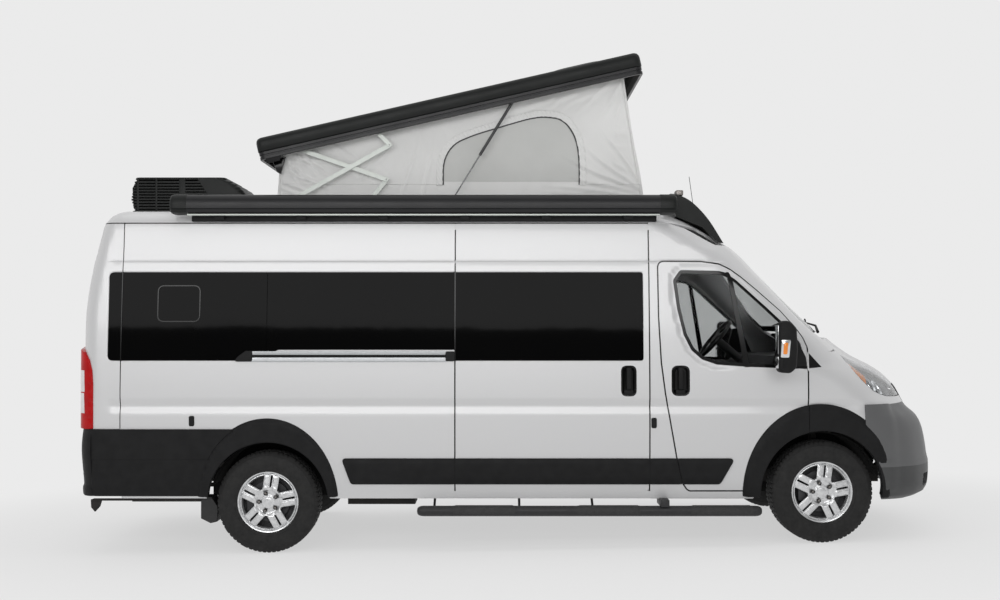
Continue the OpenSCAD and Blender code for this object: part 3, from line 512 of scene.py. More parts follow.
PAINT = material("silver_paint", (0.62, 0.62, 0.625), 0.40, 0.25, ((0.56, 0.56, 0.565), 900, 0.8),
    [("noise", 1500, 0.00004), ("noise", 9, 0.0006)], Coat_Weight=0.45, Coat_Roughness=0.08)
PLASTIC = material("grained_plastic", (0.007, 0.007, 0.0074), 0.5, 0, ((0.012, 0.012, 0.0125), 14, 0.7),
    [("noise", 650, 0.0005)], (8, 0.62), Specular_IOR_Level=0.18)
BUMPER = material("bumper_plastic", (0.10, 0.101, 0.103), 0.42, 0, ((0.105, 0.106, 0.108), 7, 0.7),
    [("noise", 700, 0.0003)], (6, 0.5), Specular_IOR_Level=0.45)
SATIN = material("satin_grey", (0.042, 0.043, 0.044), 0.42, 0, ((0.058, 0.059, 0.06), 9, 0.7),
    [("noise", 700, 0.0002)], (6, 0.5), Specular_IOR_Level=0.45)
GLOSS = material("gloss_black", (0.003, 0.003, 0.0032), 0.16, 0, ((0.005, 0.005, 0.005), 20, 0.6),
    [("noise", 12, 0.0002)], Specular_IOR_Level=0.3)
DARK_GLASS = material("privacy_glass", (0.0012, 0.0012, 0.0013), 0.05, 0, ((0.002, 0.002, 0.002), 1.2, 0.6),
    [("noise", 1.5, 0.0012)], Specular_IOR_Level=0.05)
CLEAR_GLASS = material("tinted_glass", (0.62, 0.63, 0.63), 0.02, 0, ((0.58, 0.59, 0.59), 1.5, 0.5),
    [("noise", 1.5, 0.0005)], Transmission_Weight=1.0, IOR=1.1)
LENS = material("clear_lens", (0.95, 0.96, 0.97), 0.03, 0, ((0.9, 0.92, 0.93), 4, 0.5),
    [("noise", 6, 0.0003)], Transmission_Weight=1.0, IOR=1.3)
RED = material("red_lens", (0.44, 0.005, 0.006), 0.2, 0, ((0.3, 0.003, 0.004), 12, 0.6),
    [("noise", 10, 0.0002)], Specular_IOR_Level=0.12, Coat_Weight=0.12, Coat_Roughness=0.05)
WHITE_LENS = material("white_lens", (0.62, 0.6, 0.6), 0.14, 0, ((0.75, 0.74, 0.74), 25, 0.6),
    [("noise", 10, 0.0002)], Coat_Weight=0.6, Coat_Roughness=0.03)
AMBER = material("amber_lens", (0.85, 0.26, 0.02), 0.15, 0, ((0.7, 0.18, 0.01), 25, 0.6),
    [("noise", 30, 0.0003)], Coat_Weight=0.6, Coat_Roughness=0.03)
CHROME = material("reflector", (0.75, 0.76, 0.77), 0.15, 1, ((0.6, 0.61, 0.62), 30, 0.5),
    [("noise", 40, 0.0003)])
RAIL = material("anodised_rail", (0.42, 0.43, 0.44), 0.34, 0.9, ((0.34, 0.35, 0.36), 60, 0.6),
    [("noise", 300, 0.0001)], (30, 0.45))
CHASSIS = material("chassis_black", (0.018, 0.018, 0.018), 0.55, 0, ((0.034, 0.031, 0.028), 12, 0.8),
    [("noise", 90, 0.0008)], (18, 0.75), Specular_IOR_Level=0.2)
# Near black: the arch liners' own black plastic, and also painted shade where it backs the bumper slots, the
# grille, the wheel wells and the air conditioner.
LINER_AND_SHADE = material("arch_liner_and_shade", (0.004, 0.004, 0.004), 0.8, 0, ((0.007, 0.007, 0.0065), 25, 0.8),
    [("noise", 160, 0.001)], Specular_IOR_Level=0.15)
RUBBER = material("rubber", (0.012, 0.012, 0.012), 0.62, 0, ((0.02, 0.02, 0.02), 20, 0.7),
    [("noise", 400, 0.0003)])
TYRE = material("tyre_rubber", (0.007, 0.007, 0.0071), 0.6, 0, ((0.016, 0.0155, 0.015), 16, 0.8),
    [("noise", 320, 0.0004)], (40, 0.75), Specular_IOR_Level=0.35)
ALLOY = material("alloy", (0.74, 0.745, 0.75), 0.26, 0.8, ((0.52, 0.525, 0.535), 40, 0.7),
    [("noise", 900, 0.00005)], (50, 0.38), Coat_Weight=0.5, Coat_Roughness=0.1)
# Near black for the brake and the disc behind the spokes: painted shade inside the wheel, seen through its
# pockets.
POCKET_SHADE = material("painted_pocket_shade", (0.05, 0.05, 0.053), 0.5, 0.3, ((0.03, 0.03, 0.032), 30, 0.7),
    [("noise", 300, 0.0003)])
STEEL = material("brake_steel", (0.28, 0.27, 0.26), 0.4, 1, ((0.2, 0.17, 0.15), 30, 0.7),
    [("noise", 300, 0.0002)])
ROOF_BLACK = material("roof_plastic", (0.008, 0.009, 0.0085), 0.38, 0, ((0.014, 0.015, 0.0145), 6, 0.7),
    [("noise", 240, 0.0003)], (5, 0.46), Specular_IOR_Level=0.2)
AWNING = material("awning_case", (0.011, 0.011, 0.012), 0.3, 0, ((0.016, 0.016, 0.017), 5, 0.7),
    [("noise", 500, 0.0001)], (4, 0.38), Specular_IOR_Level=0.28)
STEP = material("step_coating", (0.016, 0.016, 0.017), 0.42, 0, ((0.025, 0.025, 0.026), 40, 0.7),
    [("noise", 900, 0.0004)], (30, 0.55), Specular_IOR_Level=0.4)
PAD = material("step_pad", (0.022, 0.022, 0.022), 0.7, 0, ((0.035, 0.035, 0.035), 40, 0.7),
    [("cells", 60, 0.002)])
CABIN = material("cabin_plastic", (0.035, 0.035, 0.037), 0.6, 0, ((0.045, 0.045, 0.047), 9, 0.7),
    [("noise", 500, 0.0004)])
SEAT = material("seat_cloth", (0.07, 0.07, 0.075), 0.85, 0, ((0.1, 0.1, 0.105), 120, 0.8),
    [("noise", 800, 0.0008)], Sheen_Weight=0.3)
ZINC = material("pale_bars", (0.56, 0.59, 0.555), 0.4, 0.2, ((0.6, 0.63, 0.6), 18, 0.7),
    [("noise", 200, 0.0001)], (20, 0.5))
STRUT = material("strut_black", (0.02, 0.02, 0.021), 0.28, 0, ((0.03, 0.03, 0.031), 9, 0.6),
    [("noise", 60, 0.0001)])
ROD = material("strut_rod", (0.14, 0.142, 0.145), 0.25, 1, ((0.28, 0.285, 0.29), 60, 0.5),
    [("noise", 200, 0.00005)])
LAMP_BLACK = material("lamp_bezel", (0.03, 0.03, 0.032), 0.3, 0, ((0.05, 0.05, 0.052), 12, 0.6),
    [("noise", 30, 0.0002)])


def fabric_material(name, color, other, rough, weave):
    """Woven cloth: crossed threads, faint stains and slubs."""
    mat = material(name, color, rough, 0, (other, 2.2, 0.8), [("noise", 5, 0.006)], Sheen_Weight=0.25)
    nodes, links = mat.node_tree.nodes, mat.node_tree.links
    shader = nodes["Principled BSDF"]
    place = next(n for n in nodes if n.type == "TEX_COORD").outputs["Object"]
    under = shader.inputs["Normal"].links[0].from_socket
    height = None
    for axis in ("X", "Z"):
        wave = nodes.new("ShaderNodeTexWave")
        wave.bands_direction = axis
        wave.inputs["Scale"].default_value = weave
        links.new(place, wave.inputs["Vector"])
        if height is None:
            height = wave.outputs["Fac"]
        else:
            add = nodes.new("ShaderNodeMath")
            add.operation = "MULTIPLY"
            links.new(height, add.inputs[0])
            links.new(wave.outputs["Fac"], add.inputs[1])
            height = add.outputs[0]
    bump = nodes.new("ShaderNodeBump")
    bump.inputs["Distance"].default_value = 0.0004
    links.new(height, bump.inputs["Height"])
    links.new(under, bump.inputs["Normal"])
    links.new(bump.outputs["Normal"], shader.inputs["Normal"])
    return mat


TENT = fabric_material("tent_fabric", (0.80, 0.80, 0.79), (0.72, 0.72, 0.71), 0.8, 300)
MESH = fabric_material("tent_mesh", (0.60, 0.605, 0.59), (0.53, 0.535, 0.52), 0.85, 200)
ZIP = material("zip_tape", (0.03, 0.03, 0.032), 0.6, 0, ((0.06, 0.06, 0.06), 300, 0.8),
    [("noise", 900, 0.0006)])


# ---------------------------------------------------------------- the body's panels
def solve(chart, target, z, low, high, axis):
    """u on a chart where the skin has a given x (axis 0) or y (axis 1)."""
    z = np.atleast_1d(np.array(z, float))
    lo, hi = np.full(z.shape, low), np.full(z.shape, high)
    rising = chart(hi, z)[:, axis] > chart(lo, z)[:, axis]
    for _ in range(22):
        mid = (lo + hi) / 2
        less = (chart(mid, z)[:, axis] < target) == rising
        lo, hi = np.where(less, mid, lo), np.where(less, hi, mid)
    return (lo + hi) / 2


def u_at(x, z):
    """The side chart's u where the skin shows at x in a side view."""
    return float(side_u([x], [z])[0])


def front_u(y, z):
    """The front chart's u where the skin is at y."""
    return float(solve(front_chart, y, z, -0.1, 1.9, 1)[0])


def side_u_at_y(y, z):
    """The side chart's u on the front corner, where the skin is at y, below zero."""
    return float(solve(side_chart, y, z, FRONT_X + 0.05, FRONT_X + 1.6, 1)[0])


def swage(u, z):
    """The pressed line along the flank."""
    start = bump((u - TAIL_X - 0.218) / 0.06)
    end = bump((FRONT_X + 0.42 - u) / 0.25)
    d = np.interp(z, [0.985, 1.035, 1.049, 1.094, 1.105], [0, 0.9, 1, 0.05, 0])
    return -0.013 * d * start * end


def roof_line(u, z):
    """The crease along the top of the flank, above the windows."""
    start = bump((u - TAIL_X - 0.218) / 0.06)
    end = bump((FRONT_X - 0.62 - u) / 0.12)
    return -0.005 * bump((z - 2.092) / 0.010) * (1 - bump((z - 2.12) / 0.22)) * start * end


def flank(u, z):
    """All the pressed lines of the flank."""
    return swage(u, z) + roof_line(u, z)


FLANK_ROWS = [0.985, 0.997, 1.012, 1.03, 1.04, 1.049, 1.06, 1.08, 1.094, 1.105, 2.092, 2.097, 2.102, 2.115]

WINDOW_REAR_X = TAIL_X + 0.221
WINDOW = rect(WINDOW_REAR_X, SLIDE_FRONT_X - 0.004, BELT_Z, WINDOW_TOP_Z, 0.03)
RAIL_WINDOW = rounded([(WINDOW_REAR_X, BELT_Z), (SLIDE_REAR_X - 0.62 - 0.83, BELT_Z),
    (SLIDE_REAR_X - 0.62 - 0.745, BELT_Z + 0.012), (SLIDE_REAR_X - 1.29, BELT_Z + 0.079),
    (SLIDE_REAR_X, BELT_Z + 0.079), (SLIDE_REAR_X, WINDOW_TOP_Z), (WINDOW_REAR_X, WINDOW_TOP_Z)],
    [0.05, 0.05, 0.03, 0.03, 0.0, 0.0, 0.05])
DOOR_WINDOW = rounded([(SLIDE_REAR_X, BELT_Z), (SLIDE_FRONT_X - 0.035, BELT_Z),
    (SLIDE_FRONT_X - 0.035, WINDOW_TOP_Z), (SLIDE_REAR_X, WINDOW_TOP_Z)], [0, 0.03, 0.03, 0])
REAR_ARCH = circle(REAR_X, axle_z(REAR_X), REAR_ARCH_R, 96)
FRONT_ARCH = circle(FRONT_X, axle_z(FRONT_X), FRONT_ARCH_R, 96)


def rear_edge(z, inset=0.0):
    """The side chart's u where the rear door's edge runs."""
    return TAIL_X + float(TAIL(z)) + 0.006 + inset


LAMP_TAIL = [(rear_edge(0.879), 0.879), (TAIL_X + 0.126, 0.879), (TAIL_X + 0.126, 1.20),
    (TAIL_X + 0.118, 1.30), (TAIL_X + 0.097, 1.375), (TAIL_X + 0.060, 1.43), (TAIL_X + 0.012, 1.468),
    (rear_edge(1.473), 1.476)]
lamp_cut = grown(on_side(LAMP_TAIL), 0.003)
heights = [0.878 + 0.0939 * i for i in range(17)]
seam_x = REAR_SEAM_X - HALF_GAP
corner = [(rear_edge(z), z) for z in reversed(heights)]
corner = corner + [(seam_x, 0.878), (seam_x, PANEL_TOP_Z)]
window_right = [(WINDOW_REAR_X, BELT_Z), (REAR_SEAM_X + 0.01, BELT_Z), (REAR_SEAM_X + 0.01, WINDOW_TOP_Z),
    (WINDOW_REAR_X, WINDOW_TOP_Z)]
panel("rear_corner_right", PAINT, [corner], cut=[lamp_cut, rounded(window_right, [0.05, 0, 0, 0.05])],
    relief=flank, rows=FLANK_ROWS, soft=(RAIL_WINDOW, 0.012), depth=0.04,
    sides="both", replaces="rear_frame")

wall = rect(REAR_SEAM_X + HALF_GAP, SLIDE_REAR_X - HALF_GAP, SILL_Z, PANEL_TOP_Z)
panel("side_wall_right", PAINT, [wall], cut=[REAR_ARCH, RAIL_WINDOW], relief=flank,
    rows=FLANK_ROWS, soft=(RAIL_WINDOW, 0.012), replaces="side_wall_right")
panel("sill_right", PAINT, [rect(SLIDE_REAR_X + HALF_GAP, SLIDE_FRONT_X + 0.004, SILL_Z,
    DOOR_BOTTOM_Z - 0.0035)])
door = rounded([(SLIDE_REAR_X + HALF_GAP, DOOR_BOTTOM_Z), (SLIDE_FRONT_X - HALF_GAP, DOOR_BOTTOM_Z),
    (SLIDE_FRONT_X - HALF_GAP, PANEL_TOP_Z), (SLIDE_REAR_X + HALF_GAP, PANEL_TOP_Z)],
    [0.012, 0.03, 0.012, 0.012])
HANDLE = rect(SLIDE_FRONT_X - 0.21, SLIDE_FRONT_X - 0.095, 1.112, 1.338, 0.045)
panel("sliding_door", PAINT, [door], cut=[DOOR_WINDOW, HANDLE], relief=flank, rows=FLANK_ROWS,
    soft=(DOOR_WINDOW, 0.012), replaces="sliding_door")
wall_left = rect(REAR_SEAM_X + HALF_GAP, SLIDE_FRONT_X - HALF_GAP, SILL_Z, PANEL_TOP_Z)
panel("side_wall_left", PAINT, [wall_left], sides="left", cut=[REAR_ARCH, WINDOW], relief=flank,
    rows=FLANK_ROWS, soft=(WINDOW, 0.012), replaces="side_wall_left")

# Privacy glass in panes, with seams between them
PANE_SEAM_X = REAR_X - 0.011
END = 9.0
for name, x0, x1, outline, replaced in (("rear_glass_right", -END, PANE_SEAM_X, RAIL_WINDOW, "side_glass"),
        ("middle_glass_right", PANE_SEAM_X, END, RAIL_WINDOW, "side_glass"),
        ("door_glass_right", -END, END, DOOR_WINDOW, "side_glass"),
        ("rear_glass_left", -END, PANE_SEAM_X, WINDOW, ()),
        ("middle_glass_left", PANE_SEAM_X, SLIDE_REAR_X, WINDOW, ()),
        ("front_glass_left", SLIDE_REAR_X, END, WINDOW, ())):
    inner = [(min(max(u, x0 + 0.002), x1 - 0.002), z) for u, z in grown(outline, -0.0035)]
    clean = [p for i, p in enumerate(inner) if math.dist(p, inner[i - 1]) > 1e-4]
    panel(name, DARK_GLASS, [clean], lift=-0.0045, depth=0.006, roll=0.0015, step=0.05,
          sides=name.split("_")[-1], replaces=replaced)
hatch = rect(TAIL_X + 0.586, TAIL_X + 0.899, 1.654, 1.922, 0.05)
panel("window_hatch", GLOSS, [hatch], cut=[grown(hatch, -0.007)], lift=0.0005, depth=0.004, roll=0.001,
      step=0.05, slot="dark_glass")

# Cab: pillars and roof side round the doors
DOOR = rounded([(-1.193, 2.099), (-1.190, 1.694), (-1.173, 1.359), (-1.145, 1.138), (-1.134, 1.077),
    (-1.101, 0.888), (-1.063, 0.674), (-1.036, 0.550), (-1.017, 0.479), (-0.985, 0.434), (-0.965, 0.423),
    (-0.104, 0.423), (-0.104, 1.475), (-0.112, 1.540), (-0.147, 1.620), (-0.235, 1.738), (-0.410, 1.885),
    (-0.540, 1.985), (-0.628, 2.040), (-0.730, 2.078), (-0.876, 2.097)],
    [0.05, 0, 0, 0, 0, 0, 0, 0, 0, 0, 0.01, 0.01, 0.03, 0.03, 0.03, 0.05, 0, 0, 0.05, 0.05, 0.05])
DOOR = [(FRONT_X + x, z) for x, z in DOOR]
CAB_WINDOW = rounded([(-1.083, 1.962), (-1.055, 1.749), (-1.010, 1.559), (-0.955, 1.448), (-0.876, 1.378),
    (-0.765, 1.341), (-0.542, 1.325), (-0.106, 1.308), (-0.106, 1.335), (-0.150, 1.500), (-0.206, 1.610),
    (-0.374, 1.770), (-0.597, 1.965), (-0.690, 2.020), (-0.740, 2.032), (-1.030, 2.038)],
    [0.04, 0, 0.05, 0.05, 0.05, 0.05, 0.05, 0.0, 0.0, 0.03, 0.05, 0.03, 0.05, 0.03, 0.03, 0.04])
CAB_WINDOW = [(FRONT_X + x, z) for x, z in CAB_WINDOW]
GLASS_Y = [(1.585, 0.800), (1.70, 0.795), (1.85, 0.785), (2.0, 0.772), (2.1, 0.76), (2.195, 0.745)]
pillar = [(side_u_at_y(-y - 0.006, z), z) for z, y in GLASS_Y]
fender_line = [(FENDER_X - 0.001, 1.31), (FRONT_X + 0.005, 1.322), (FRONT_X + 0.105, 1.437)]
hood_corner = [(side_u_at_y(-0.742, z), z) for z in (1.455, 1.53)]
top_front = [(side_u_at_y(-0.745, 2.225), 2.222)]
surround = ([(SLIDE_FRONT_X + 0.0035, PANEL_TOP_Z), (SLIDE_FRONT_X + 0.0035, SILL_Z),
    (FENDER_X - 0.104 - 0.30, SILL_Z), (FENDER_X - 0.104 - 0.25, 0.44), (FENDER_X - 0.02, 1.25)]
    + fender_line + hood_corner + pillar + top_front
    + [(FRONT_X - 0.64, 2.222), (FRONT_X - 0.88, 2.345), (FRONT_X - 1.05, PANEL_TOP_Z)])
panel("cab_surround_right", PAINT, [surround], cut=[DOOR], relief=flank,
    rows=FLANK_ROWS, sides="both", replaces="cab_surround",
    roll=0.006)


def clip(points, a, b, c):
    """The part of an outline where a*u + b*z >= c, for a cut that crosses it twice."""
    out = []
    for i, p in enumerate(points):
        q = points[i - 1]
        dp, dq = a * p[0] + b * p[1] - c, a * q[0] + b * q[1] - c
        if (dp >= 0) != (dq >= 0):
            t = dq / (dq - dp)
            out.append((q[0] + (p[0] - q[0]) * t, q[1] + (p[1] - q[1]) * t))
        if dp >= 0:
            out.append(p)
    return out


CAB_HANDLE = rect(FRONT_X - 1.10, FRONT_X - 0.965, 1.115, 1.338, 0.05)


def door_relief(u, z):
    """The pressed flank line, and the soft dip round the cab window."""
    near = np.abs(distance_to(CAB_WINDOW, u, z))
    dip = -0.008 * (1 - bump((near - 0.012) / 0.03))
    front = bump((FRONT_X - 0.14 - u) / 0.05)
    return swage(u, z) + dip * np.where(z > 1.30, 1, 0) * (0.4 + 0.6 * front)


door_shape = grown(DOOR, -0.003)
panel("cab_door_panel_right", PAINT, [door_shape], cut=[CAB_WINDOW, CAB_HANDLE, FRONT_ARCH],
    relief=door_relief, rows=FLANK_ROWS[:10], body="cab_door_right", depth=0.03, roll=0.005,
    soft=(CAB_WINDOW, 0.006), step=0.026, replaces="cab_door_right",
    sides="both")
for kind, mat, outline, hole, lift, depth, replaced in (
        ("cab_glass", CLEAR_GLASS, grown(CAB_WINDOW, -0.004), (), -0.012, 0.004, "cab_door_glass_right"),
        ("cab_seal", GLOSS, CAB_WINDOW, [grown(CAB_WINDOW, -0.026)], -0.009, 0.012, ())):
    panel(kind + "_right", mat, [outline], cut=hole, lift=lift, depth=depth, roll=0.0015, step=0.05,
        body="cab_door_right", replaces=replaced, sides="both")
bar_line = [(FRONT_X - 0.685, 2.02), (FRONT_X - 0.655, 2.02), (FRONT_X - 0.530, 1.327),
    (FRONT_X - 0.566, 1.327)]
panel("cab_divider_right", GLOSS, [bar_line[::-1]], lift=-0.006, depth=0.012, roll=0.002,
    body="cab_door_right", sides="both")

# Fenders
LAMP_LINE = [(0.190, 1.420), (0.215, 1.362), (0.240, 1.314), (0.265, 1.276), (0.294, 1.240), (0.340, 1.193),
    (0.391, 1.149), (0.450, 1.124), (0.514, 1.106), (0.60, 1.099)]
lamp_line = [(u_at(FRONT_X + x, z), z) for x, z in LAMP_LINE]
grille_u = {z: side_u_at_y(-0.523, z) for z in (1.053, 1.096)}
lamp_line.append((grille_u[1.096], 1.096))
fender = ([(FENDER_X + 0.002, 0.70), (u_at(BUMPER_SEAM_X - 0.003, 0.70), 0.70),
    (u_at(BUMPER_SEAM_X - 0.003, 0.85), 0.85), (u_at(BUMPER_SEAM_X - 0.003, 1.0), 1.0),
    (u_at(BUMPER_SEAM_X - 0.003, 1.053), 1.053), (grille_u[1.053], 1.053)]
    + [(u - 0.002, z - 0.003) for u, z in reversed(lamp_line)]
    + [(side_u_at_y(-0.740, 1.437), 1.437)] + [(u, z - 0.004) for u, z in reversed(fender_line)])
panel("fender_right", PAINT, [fender], cut=[FRONT_ARCH], relief=swage, rows=FLANK_ROWS[:10],
    replaces="front_fenders", sides="both", step=0.03)

# Hood: one piece, with raised middle and two creases
hood = [(-front_u(0.735, 1.523), 1.523)] + [(y, 1.523) for y in np.linspace(-0.6, 0.6, 9)]
hood += [(front_u(0.735, 1.523), 1.523), (front_u(0.735, 1.39), 1.392), (front_u(0.602, 1.347), 1.347),
    (0.565, 1.27), (0.523, 1.187), (-0.523, 1.187), (-0.565, 1.27), (-front_u(0.602, 1.347), 1.347),
    (-front_u(0.735, 1.39), 1.392)]


def hood_relief(u, z):
    """The hood's raised middle, with a crease at each side of it."""
    a = np.abs(u)
    middle = 0.010 * bump((0.56 - a) / 0.05) * bump((z - 1.19) / 0.10)
    return middle - 0.006 * bump((a - 0.30) / 0.03) * (1 - bump((a - 0.36) / 0.16)) * bump((z - 1.22) / 0.1)


panel("hood_panel", PAINT, [hood[::-1]], chart=front_chart, relief=hood_relief, body="hood", replaces="hood",
    depth=0.02, step=0.03, roll=0.006)
screen = [(-front_u(y, z), z) for z, y in GLASS_Y] + [(0.3 * k, 2.199) for k in (-2, -1, 0, 1, 2)]
screen += [(front_u(y, z), z) for z, y in reversed(GLASS_Y)] + [(0.3 * k, 1.583) for k in (2, 1, 0, -1, -2)]
panel("windscreen_glass", CLEAR_GLASS, [screen[::-1]], chart=front_chart, lift=-0.002, depth=0.006,
    roll=0.001, replaces="windscreen", step=0.05)
panel("windscreen_border", GLOSS, [screen[::-1]], cut=[grown(screen[::-1], -0.045)], chart=front_chart,
    lift=-0.010, depth=0.002, roll=0.0005, step=0.05)
cowl = [(-0.73, 1.530), (0.73, 1.530), (0.76, 1.580), (-0.76, 1.580)]
panel("cowl", PLASTIC, [dense(cowl, 0.1)], chart=front_chart, lift=-0.030, depth=0.02,
    relief=lambda u, z: 0.004 * np.sin(u * 60) * bump((0.7 - np.abs(u)) / 0.1))
header_u = front_u(0.745, 2.203)
panel("roof_header", PAINT, [[(-header_u, 2.203), (-0.4, 2.203), (0, 2.203), (0.4, 2.203), (header_u, 2.203),
    (header_u, 2.224), (0, 2.224), (-header_u, 2.224)]], chart=front_chart)


# Headlamps: bezel, bowls and lens
def lamp_part(name, mat, outline, lift, depth, step=0.03, **kw):
    """A layer of both headlamps."""
    panel(name + "_right", mat, [outline], lift=lift, depth=depth, roll=0.002, sides="both", step=step, **kw)


lamp_top = [(side_u_at_y(-0.560, z), z) for z in (1.102, 1.19, 1.27, 1.34)]
lamp_top += [(side_u_at_y(-0.62, 1.352), 1.352), (side_u_at_y(-0.735, 1.388), 1.388)]
lamp = [(u + 0.001, z + 0.001) for u, z in lamp_line if z > 1.0 and u < lamp_top[0][0] - 0.01] + lamp_top
lamp = lamp[1:] + [(lamp_line[0][0] + 0.003, 1.412)]
lamp_part("headlamp_bezel", LAMP_BLACK, grown(lamp, -0.002), -0.040, 0.01, replaces="headlamps")
lamp_part("headlamp_lens", LENS, grown(lamp, -0.002), 0.0, 0.004)
amber = [(u + 0.02, z + 0.012) for u, z in lamp_line[1:6]] + [(lamp_line[4][0] + 0.13, 1.262),
    (lamp_line[2][0] + 0.13, 1.335), (lamp_line[1][0] + 0.08, 1.375)]
lamp_part("headlamp_indicator", AMBER, amber, -0.012, 0.01)
for k, (du, z, r) in enumerate(((0.20, 1.215, 0.062), (0.34, 1.18, 0.055))):
    ring = circle(lamp_line[4][0] + du, z, r, 40)
    lamp_part(f"headlamp_bowl_{k}", CHROME, ring, -0.030, 0.006,
        relief=lambda u, z, c=(lamp_line[4][0] + du, z), r=r:
        -0.03 * (1 - (np.hypot(u - c[0], z - c[1]) / r) ** 2).clip(0, 1), step=0.012)

# Front bumper: dark above, satin below
AXLE_F = axle_z(FRONT_X)


def bumper_edge(z):
    """The front chart's u where the bumper ends, at its seam or at the wheel arch."""
    x = max(BUMPER_SEAM_X + 0.003, FRONT_X + math.sqrt(max(0, FRONT_ARCH_R ** 2 - (z - AXLE_F) ** 2)))
    return float(solve(front_chart, x, z, 0.7, 2.2, 0)[0])


def bumper_outline(z0, z1):
    """The bumper between two heights, round both front corners."""
    zs = np.linspace(z0, z1, 9)
    return ([(u, z0) for u in np.linspace(-bumper_edge(z0), bumper_edge(z0), 24)]
            + [(bumper_edge(z), z) for z in zs[1:]]
            + [(u, z1) for u in np.linspace(bumper_edge(z1), -bumper_edge(z1), 24)][1:]
            + [(-bumper_edge(z), z) for z in zs[::-1][1:-1]])


def bumper_relief(u, z):
    """The bumper's lower lip, and its corners standing out over the arches."""
    lip = 0.010 * bump((0.66 - z) / 0.03) * bump((z - 0.36) / 0.04)
    side = 0.014 * bump((np.abs(u) - 1.15) / 0.12) * bump((z - 0.40) / 0.05)
    return lip + side


grille_hole = rounded([(-0.52, 0.69), (0.52, 0.69), (0.56, 0.86), (0.535, 1.06), (-0.535, 1.06),
    (-0.56, 0.86)], [0.05, 0.05, 0.05, 0, 0, 0.05])
panel("bumper_upper", BUMPER, [bumper_outline(0.603, 1.047)], cut=[grille_hole], chart=front_chart,
    relief=bumper_relief, replaces="bumper_front", step=0.03, roll=0.006)
low_slot = rect(-0.43, 0.43, 0.445, 0.555, 0.03)
fogs = [rect(s * 0.72 - 0.12, s * 0.72 + 0.12, 0.43, 0.535, 0.035) for s in (-1, 1)]
panel("bumper_lower", SATIN, [bumper_outline(0.352, 0.598)], cut=[low_slot] + fogs, chart=front_chart,
    relief=bumper_relief, step=0.03, roll=0.006)
# Near-black sheets behind the low slot and the fog recesses: painted shade deep in the openings.
panel("bumper_slot_shade", LINER_AND_SHADE, [rect(-0.44, 0.44, 0.43, 0.57), rect(-0.85, -0.59, 0.42, 0.55),
    rect(0.59, 0.85, 0.42, 0.55)], chart=front_chart, lift=-0.045, depth=0.005)
for s in (-1, 1):
    panel(f"fog_lamp_{'left' if s > 0 else 'right'}", LENS, [circle(s * 0.72, 0.484, 0.036, 32)],
        chart=front_chart, lift=-0.02, depth=0.02,
        relief=lambda u, z: 0.01 * (1 - ((u - np.sign(u) * 0.72) ** 2 + (z - 0.484) ** 2) / 0.0013))
# Grille: slats over a dark backing, which is painted shade behind the slats
panel("grille_backing_shade", LINER_AND_SHADE, [rect(-0.55, 0.55, 0.68, 1.18)], chart=front_chart, lift=-0.05, depth=0.01,
    replaces="grille")
panel("grille_frame", PLASTIC, [rounded([(-0.52, 1.05), (0.52, 1.05), (0.518, 1.183), (-0.518, 1.183)],
    0.01)], chart=front_chart, cut=[rect(-0.44, 0.44, 1.075, 1.155, 0.02)])
for k in range(4):
    z = 0.745 + 0.085 * k
    panel(f"grille_slat_{k}", PLASTIC, [rect(-0.53, 0.53, z - 0.014, z + 0.014, 0.006)], chart=front_chart,
        lift=-0.016, depth=0.03)
panel("grille_slat_top", PLASTIC, [rect(-0.44, 0.44, 1.105, 1.125, 0.006)], chart=front_chart, lift=-0.012,
    depth=0.03)


# Cladding
def flare_relief(cx, cz, inner, rx, tall):
    """A flare stands out at the arch and falls away to its outer edge."""
    def relief(u, z):
        """How far the flare stands out at a point."""
        rr = np.hypot(u - cx, (z - cz) / tall)
        t = ((rr - inner) / (rx - inner)).clip(-0.2, 1.3)
        return 0.018 * (1 - bump((t - 0.62) / 0.4)) + 0.003
    return relief


def flare(name, cx, inner, rx, tall, low, high, body="root", shift=0.0, replaces=()):
    """The part of an arch's flare between two places along the van, on both sides."""
    cz = axle_z(cx)
    outer = [(u + shift, z) for u, z in circle(cx, cz, rx, 120, tall)]
    shape = clip(clip(clip(outer, 0, 1, 0.386), 1, 0, low), -1, 0, -high)
    hole = circle(cx, cz, inner, 120)
    return panel(name, PLASTIC, [shape], cut=[hole], relief=flare_relief(cx + shift, cz, inner, rx, tall),
        soft=(hole, 0.010), depth=0.05, roll=0.005, step=0.025, body=body, replaces=replaces, sides="both")


REAR_FLARE, FRONT_FLARE = (0.447, 0.512, 1.19), (0.456, 0.560, 1.14)
flare("rear_flare_right", REAR_X, *REAR_FLARE, -END, END, shift=-0.004, replaces="side_cladding")
flare("front_flare_right", FRONT_X, *FRONT_FLARE, FENDER_X + 0.002, END, shift=-0.015)
flare("door_flare_right", FRONT_X, *FRONT_FLARE, -END, FENDER_X - 0.008, "cab_door_right", -0.015)
BAND = rounded([(-1.083, 0.477), (1.600, 0.477), (1.701, 0.659), (-1.148, 0.659)], [0.025, 0.03, 0.02, 0.02])


def band_relief(u, z):
    """The band of cladding stands off the flank, with rolled edges."""
    return 0.0105 + 0.0035 * bump((0.655 - z) / 0.02) * bump((z - 0.481) / 0.02)


